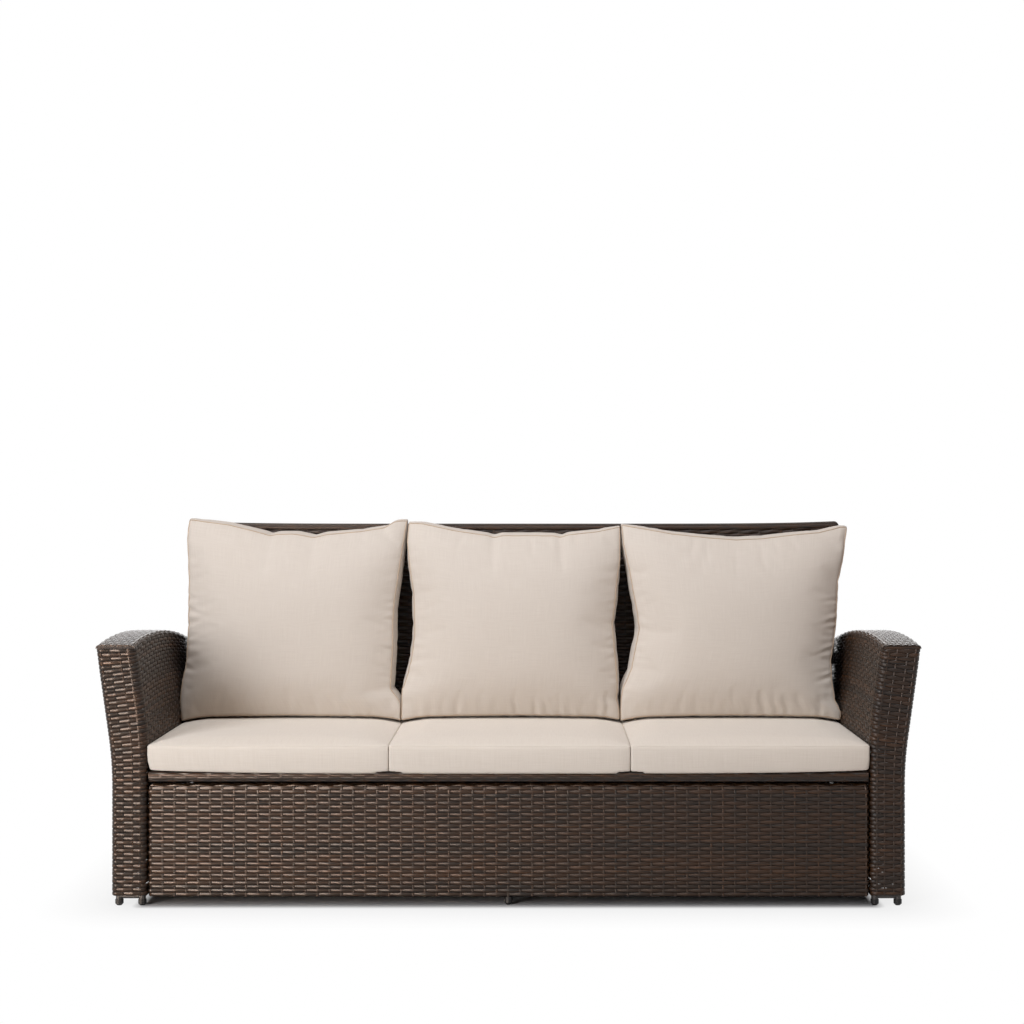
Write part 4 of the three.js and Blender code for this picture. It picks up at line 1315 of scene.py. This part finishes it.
# Outlines in metres: X at the base's and the top's corners, the top corners' heights, and for each
# side how far it is drawn in from the line between its corners, by the share of its length. Sides
# go upwards, and tops from left to right.
BACK_PADS = {
    "left": {
        "base": (-0.826, -0.267),
        "top": (-0.832, -0.270),
        "heights": (0.877, 0.874),
        "left": (
            (0, 0), (0.05, -0.006), (0.17, 0.001), (0.26, 0.0095), (0.45, 0.0120), (0.58, 0.0100),
            (0.68, 0.0090), (0.79, 0.0052), (0.89, -0.0006), (0.945, -0.0015), (1, 0),
        ),
        "right": (
            (0, 0), (0.04, -0.003), (0.13, 0.035), (0.27, 0.032), (0.38, 0.030), (0.48, 0.031),
            (0.58, 0.028), (0.68, 0.021), (0.79, 0.014), (1, 0),
        ),
        "over": (
            (0, 0), (0.19, 0.013), (0.35, 0.0345), (0.38, 0.0405), (0.42, 0.0355), (0.5, 0.0355),
            (0.58, 0.0445), (0.63, 0.0365), (0.79, 0.028), (0.9, 0.018), (0.95, 0.001), (1, 0),
        ),
    },
    "middle": {
        "base": (-0.275, 0.273),
        "top": (-0.266, 0.280),
        "heights": (0.868, 0.858),
        "left": (
            (0, 0), (0.05, -0.001), (0.12, -0.002), (0.19, 0.011), (0.3, 0.022), (0.43, 0.027),
            (0.63, 0.021), (0.76, 0.009), (0.9, -0.001), (1, 0),
        ),
        "right": (
            (0, 0), (0.06, 0.002), (0.09, 0.010), (0.13, 0.006), (0.24, 0.009), (0.48, 0.020),
            (0.61, 0.012), (0.68, 0.010), (0.75, 0.006), (0.82, 0.001), (1, 0),
        ),
        "over": (
            (0, 0), (0.07, 0.001), (0.22, 0.017), (0.37, 0.0275), (0.405, 0.0325), (0.44, 0.0275),
            (0.6, 0.0255), (0.69, 0.0255), (0.72, 0.0295), (0.75, 0.0225), (0.89, 0.013), (1, 0),
        ),
    },
    "right": {
        "base": (0.275, 0.826),
        "top": (0.283, 0.8655),
        "heights": (0.863, 0.857),
        "left": (
            (0, 0), (0.04, -0.003), (0.134, 0.004), (0.236, 0.0255), (0.341, 0.035), (0.442, 0.045),
            (0.54, 0.0395), (0.65, 0.029), (0.757, 0.020), (0.9, 0.005), (1, 0),
        ),
        "right": (
            (0, 0), (0.029, -0.003), (0.081, 0.0163), (0.185, 0.0268), (0.288, 0.0314),
            (0.392, 0.0255), (0.514, 0.0222), (0.704, 0.0222), (0.812, 0.0121), (0.867, 0.0084),
            (0.922, 0.0056), (0.975, 0.0013), (1, 0),
        ),
        "over": (
            (0, 0), (0.12, 0.011), (0.22, 0.021), (0.37, 0.0295), (0.5, 0.0345), (0.62, 0.0305),
            (0.76, 0.020), (0.87, 0.014), (0.94, 0.004), (0.97, -0.001), (1, 0),
        ),
    },
}

# Puckers where the cloth is gathered at a seam: side, the shares of its length where they start
# and end, how many, how far they run into the panel, and how deep they are, in metres.
PUCKERS = {
    "left": (
        ("right", 0.16, 0.60, 9, 0.022, 0.0022),
        ("left", 0.20, 0.62, 7, 0.032, 0.0036),
        ("right", 0.70, 0.95, 4, 0.018, 0.0012),
        ("bottom", 0.70, 0.97, 4, 0.030, 0.0018),
        ("top", 0.28, 0.66, 4, 0.022, 0.0018),
    ),
    "middle": (
        ("bottom", 0.52, 0.97, 8, 0.036, 0.0026),
        ("bottom", 0.04, 0.3, 4, 0.030, 0.0018),
        ("left", 0.05, 0.45, 6, 0.024, 0.0016),
        ("right", 0.10, 0.62, 9, 0.024, 0.0020),
        ("top", 0.36, 0.78, 4, 0.018, 0.0014),
    ),
    "right": (
        ("right", 0.12, 0.62, 10, 0.034, 0.0026),
        ("bottom", 0.55, 0.97, 7, 0.040, 0.0028),
        ("left", 0.10, 0.55, 7, 0.022, 0.0016),
        ("bottom", 0.05, 0.30, 3, 0.026, 0.0014),
    ),
}
PUCKER_SEED = 5
# How unevenly they lie, run and reach: shift and slant in pitches, and shares of reach and depth.
PUCKER_SHIFT = 0.25
PUCKER_SLANT = 0.35
PUCKER_REACHES = (0.6, 1.3)
PUCKER_DEPTHS = (0.5, 1.0)
# Each is this many pitches wide, and dies away from the seam. The seam itself is held flatter.
PUCKER_WIDTH = 0.55
PUCKER_FADE_POWER = 1.5
SEAM_HOLD = 0.6
SEAM_HOLD_REACH = 0.006

# The back pads' covers are the seat pads' cloth painted a shade darker, painted shade that offsets
# the stronger lamp light on them.
back_canvas_painted_darker = canvas_material("Polyester canvas, woven, darker lot", ("#c8bdb1", "#cfc5b9"))
# Their piping's cover is a darker tan than the cloth.
piping_canvas = canvas_material("Polyester canvas, cut on the bias", ("#b39d86", "#bda892"))


def drawn_in(shares, side):
    return np.interp(shares, *zip(*side))


# Between the front panel's run in the UV map and the rear one's, in metres.
FRONT_CLOTH_END = 0.9


def cloth_places(piece):
    """Each point's run on the front panel in metres, and which points lie on that panel."""
    mesh = piece.data
    uv = np.empty(2 * len(mesh.loops))
    mesh.uv_layers["cloth"].data.foreach_get("uv", uv)
    uv = uv.reshape(-1, 2)
    corner = np.empty(len(mesh.loops), dtype=np.int64)
    mesh.loops.foreach_get("vertex_index", corner)
    on_front = uv[:, 0] < FRONT_CLOTH_END
    places = np.full((len(mesh.vertices), 2), -1.0)
    places[corner[on_front]] = uv[on_front]
    return places, places[:, 0] >= 0


def puckered(piece, rows, rng):
    """Draws the front panel in along its puckers and lets it out between them."""
    places, on_front = cloth_places(piece)
    width, height = places.max(axis=0)
    x, y = places.T
    depth = np.zeros(len(places))
    for side, start, end, count, reach, deep in rows:
        along, length = (y, height) if side in ("left", "right") else (x, width)
        away = {"left": x, "right": width - x, "bottom": y, "top": height - y}[side]
        pitch = (end - start) * length / count
        for index in range(count):
            shift = PUCKER_SHIFT * rng.uniform(-1, 1)
            centre = start * length + (index + 0.5 + shift) * pitch
            slant = PUCKER_SLANT * rng.uniform(-1, 1)
            run = reach * rng.uniform(*PUCKER_REACHES)
            offset = (along - centre - slant * away) / pitch
            groove = np.cos(2 * math.pi * offset) * np.exp(-((offset / PUCKER_WIDTH) ** 2))
            held = 1 - SEAM_HOLD * np.exp(-away / SEAM_HOLD_REACH)
            fade = np.exp(-((away / run) ** PUCKER_FADE_POWER)) * held
            depth += deep * rng.uniform(*PUCKER_DEPTHS) * groove * fade
    mesh = piece.data
    normals = np.empty(3 * len(mesh.vertices))
    mesh.vertices.foreach_get("normal", normals)
    points = mesh_points(mesh)
    points[on_front] -= normals.reshape(-1, 3)[on_front] * depth[on_front, None]
    set_points(mesh, points)


def settled(points, supports, gap, reach):
    """Lowers a pillow's foot onto what it stands on, and flattens it where it would sink in."""
    low = np.flatnonzero(points[:, 2] < points[:, 2].min() + reach)
    floor_z = np.full(len(low), -1.0)
    for row, index in enumerate(low):
        start = Vector(points[index]) + Vector((0, 0, reach))
        for support in supports:
            hit = support.ray_cast(start, Vector((0, 0, -1)))[0]
            if hit is not None:
                floor_z[row] = max(floor_z[row], hit.z + gap)
    over = floor_z > 0
    left = points[:, 0].min()
    width = 2 * PAD_CELL
    column = ((points[low, 0] - left) / width).astype(int)
    clearance = np.full(column.max() + 1, np.inf)
    np.minimum.at(clearance, column[over], (points[low, 2] - floor_z)[over])
    known = np.flatnonzero(np.isfinite(clearance))
    run = left + (known + 0.5) * width
    drop = np.interp(points[:, 0], run, clearance[known])
    share = np.clip(1 - (points[:, 2] - points[:, 2].min()) / reach, 0, 1)
    points[:, 2] -= drop * share**2 * (3 - 2 * share)
    points[low[over], 2] = np.maximum(points[low[over], 2], floor_z[over])


def back_pad_panels(shape):
    """A pillow's front and rear panels, standing on its base and leaning back."""
    cloth_width, cloth_height = BACK_PAD_CLOTH
    columns = round(cloth_width / PAD_CELL) + 1
    rows = round(cloth_height / PAD_CELL) + 1
    u, v = np.linspace(0, 1, columns), np.linspace(0, 1, rows)
    (base_left, base_right), (top_left, top_right) = shape["base"], shape["top"]
    high_left, high_right = shape["heights"]
    foot = BACK_PAD_BASE
    left_x = base_left + (top_left - base_left) * v + drawn_in(v, shape["left"])
    right_x = base_right + (top_right - base_right) * v - drawn_in(v, shape["right"])
    over_z = high_left + (high_right - high_left) * u - drawn_in(u, shape["over"])
    left = np.stack([left_x, foot + (high_left - foot) * v], axis=-1)
    right = np.stack([right_x, foot + (high_right - foot) * v], axis=-1)
    bottom = np.stack([base_left + (base_right - base_left) * u, np.full(columns, foot)], axis=-1)
    top = np.stack([top_left + (top_right - top_left) * u, over_z], axis=-1)
    outline = panel_between(left, right, bottom, top)
    x, z = outline[..., 0], outline[..., 1]
    a, b = 2 * u[None] - 1, 2 * v[:, None] - 1
    corner = np.where(b > 0, BACK_PAD_CORNER_RIMS[1], BACK_PAD_CORNER_RIMS[0])
    rim = BACK_PAD_RIM + (corner - BACK_PAD_RIM) * a**4 * b**4
    crown = ((1 - a**2) * (1 - b**2)) ** BACK_PAD_FULLNESS
    panels = []
    for sign, height in zip((-1, 1), BACK_PAD_CROWNS):
        through = sign * (rim / 2 + height * crown)
        y = FRONT + BACK_PAD_MIDDLE + BACK_PAD_LEAN * (z - foot) + through
        panels.append(np.stack([x, y, z], axis=-1))
    return panels


def kept_clear(points, order, high_left):
    """Moves a pillow's points out of its neighbours, the arms and the back."""
    clear = PIPING + REST_GAP / 2
    z = points[:, 2]
    share = (z - BACK_PAD_BASE) / (high_left - BACK_PAD_BASE)
    if order > 0:
        base, head = BACK_PAD_MEETINGS[order - 1]
        points[:, 0] = np.maximum(points[:, 0], base + (head - base) * share + clear)
    if order < len(BACK_PAD_MEETINGS):
        base, head = BACK_PAD_MEETINGS[order]
        points[:, 0] = np.minimum(points[:, 0], base + (head - base) * share - clear)
    wall = np.array([arm_sides(height, 0)[0] for height in np.clip(z, 0, CREST_HEIGHT)]) - clear
    beside_arm = z < CREST_HEIGHT
    points[beside_arm, 0] = np.clip(points[beside_arm, 0], -wall[beside_arm], wall[beside_arm])
    back_face = FRONT + back_foot + z * math.tan(BACK_LEAN) - BACK_THICKNESS / 2 * slope - clear
    in_front = z < BACK_HEIGHT
    points[in_front, 1] = np.minimum(points[in_front, 1], back_face[in_front])


def back_pad(order, word):
    shape = BACK_PADS[word]
    pad, seams = sewn_cover(f"back_pad_{word}", *back_pad_panels(shape), BACK_PAD_BULGE)
    filled(pad, seams, **BACK_PAD_FILLING)
    smoothed(pad)
    puckered(pad, PUCKERS[word], pucker_draws)
    points = mesh_points(pad.data)
    settled(points, seat_tops, REST_GAP, BACK_PAD_SETTLING)
    kept_clear(points, order, shape["heights"][0])
    set_points(pad.data, points)
    pad.data.materials.clear()
    # The cover takes the cloth painted a shade darker, as painted shade.
    pad.data.materials.append(back_canvas_painted_darker)
    pad.data.materials.append(piping_canvas)
    sew(pad, seams, PIPING, 1, slot=1)
    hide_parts(f"back_cushion_{word}")
    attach(pad, "root")


graph = bpy.context.evaluated_depsgraph_get()
seat_tops = [BVHTree.FromObject(pad, graph) for pad in seat_pads]
pucker_draws = np.random.default_rng(PUCKER_SEED)
for order, word in enumerate(BACK_PADS):
    back_pad(order, word)


# Studio: a white floor and backdrop, a soft key lamp from the front left, one overhead, two for the
# strands' gloss, low in front and behind, warm light from the room, and the photograph's camera.
def area_lamp(name, place, aim, size, watts, colour="#ffffff"):
    data = bpy.data.lights.new(name, "AREA")
    data.shape = "RECTANGLE"
    data.size, data.size_y = size
    data.energy = watts
    data.color = linear(colour)[:3]
    lamp = put(name, data)
    lamp.location = place
    lamp.rotation_euler = (Vector(aim) - Vector(place)).to_track_quat("-Z", "Y").to_euler()
    return lamp


area_lamp("key", (-3.2, -4.2, 1.8), (-0.1, 0, 0.45), (1.7, 3.1), 182, "#f3f8ff")
area_lamp("overhead", (0.0, -0.7, 3.2), (0, -0.1, 0.4), (3.0, 2.0), 72, "#f3f8ff")
# A low lamp that only shows in gloss picks out the strands towards the left.
gleam = area_lamp("gleam", (-2.3, -3.1, 0.8), (-0.8, 0, 0.35), (1.6, 1.4), 27, "#ffe4cc")
gleam.data.spread = math.radians(42)
gleam.visible_diffuse = False
# One behind, unseen itself, gives the arms' tops their sheen.
sheen = area_lamp("sheen", (0, 3.2, 1.5), (0, 0, 0.5), (4.0, 1.6), 48)
sheen.visible_diffuse = False
sheen.visible_camera = False


def seen_share(tree):
    """1 for a ray from the camera, a reflection or a refraction, and 0 for light on the object."""
    rays = add_node(tree, "ShaderNodeLightPath").outputs
    kinds = [rays[f"Is {kind} Ray"] for kind in ("Camera", "Glossy", "Transmission")]
    seen = kinds[0]
    for kind in kinds[1:]:
        seen = add_node(tree, "ShaderNodeMath", {0: seen, 1: kind}, operation="MAXIMUM")
    return seen


# The floor is painted darker under and round the sofa's footprint, a painted shadow between the
# arms, and from the footprint's edge outwards it turns to plain white, as the backdrop is.
FLOOR_REACH = 30.0
FLOOR_MARGIN = 0.008
FLOOR_TURN = 0.25
# It is nearly white this early in its turn.
FLOOR_EARLY_SHARE = 0.12
FLOOR_EARLY_WHITE = 0.8
floor_mesh = bpy.data.meshes.new("floor")
corners = [(x * FLOOR_REACH, y * FLOOR_REACH, 0) for x, y in ((-1, -1), (1, -1), (1, 1), (-1, 1))]
floor_mesh.from_pydata(corners, [], [(0, 1, 2, 3)])
floor = put("floor", floor_mesh)
floor_paint, tree, shader = new_material("Studio floor, matt white")
place = add_node(tree, "ShaderNodeTexCoord").outputs["Object"]
away = add_node(tree, "ShaderNodeVectorMath", {0: place}, operation="ABSOLUTE")
footprint = (skirt_high.x + FLOOR_MARGIN, FLOOR_MARGIN - skirt_low.y, 0)
for operation, term in (("SUBTRACT", footprint), ("MAXIMUM", (0, 0, 0))):
    away = add_node(tree, "ShaderNodeVectorMath", {0: away, 1: term}, operation=operation)
distance = add_node(tree, "ShaderNodeVectorMath", {0: away}, operation="LENGTH").outputs["Value"]
far_share = add_node(tree, "ShaderNodeMapRange", {0: distance, 2: FLOOR_TURN})
# The base colour is a painted shadow: dark grey under the sofa, turning light grey a quarter metre
# out.
floor_shadow_paint = add_node(
    tree,
    "ShaderNodeMix",
    {0: far_share, 6: linear("#9c9c9c"), 7: linear("#e6e6e6")},
    data_type="RGBA",
).outputs[2]
feed(shader, {"Base Color": floor_shadow_paint, "Roughness": 0.9})
white = add_node(tree, "ShaderNodeValToRGB", {0: far_share})
white.color_ramp.elements[0].color = (0, 0, 0, 1)
white.color_ramp.elements[1].color = (1, 1, 1, 1)
early = white.color_ramp.elements.new(FLOOR_EARLY_SHARE)
early.color = (FLOOR_EARLY_WHITE, FLOOR_EARLY_WHITE, FLOOR_EARLY_WHITE, 1)
share = add_node(tree, "ShaderNodeMath", {0: white, 1: seen_share(tree)}, operation="MULTIPLY")
glow = add_node(tree, "ShaderNodeEmission", {0: (1, 1, 1, 1), 1: 1.0})
mixed = add_node(tree, "ShaderNodeMixShader", {0: share, 1: shader, 2: glow})
feed(tree.nodes["Material Output"], {0: mixed})
floor_mesh.materials.append(floor_paint)

AMBIENT = 0.12
world = bpy.data.worlds.new("studio")
bpy.context.scene.world = world
world.use_nodes = True
tree = world.node_tree
tree.nodes.clear()
room = add_node(tree, "ShaderNodeBackground", {0: linear("#ffbd84"), 1: AMBIENT})
backdrop = add_node(tree, "ShaderNodeBackground", {0: (1, 1, 1, 1), 1: 1.0})
sky = add_node(tree, "ShaderNodeMixShader", {0: seen_share(tree), 1: room, 2: backdrop})
add_node(tree, "ShaderNodeOutputWorld", {0: sky})
bpy.context.scene.view_settings.view_transform = "Standard"

camera_data = bpy.data.cameras.new("camera")
camera_data.sensor_width = 36.0
camera_data.lens = 68.2
camera_data.shift_x = -0.0234
camera_data.shift_y = -0.0117
camera = put("camera", camera_data)
camera.location = (0.0628, -4.79, 0.927)
camera.rotation_euler = (math.pi / 2, 0, 0)
bpy.context.scene.camera = camera
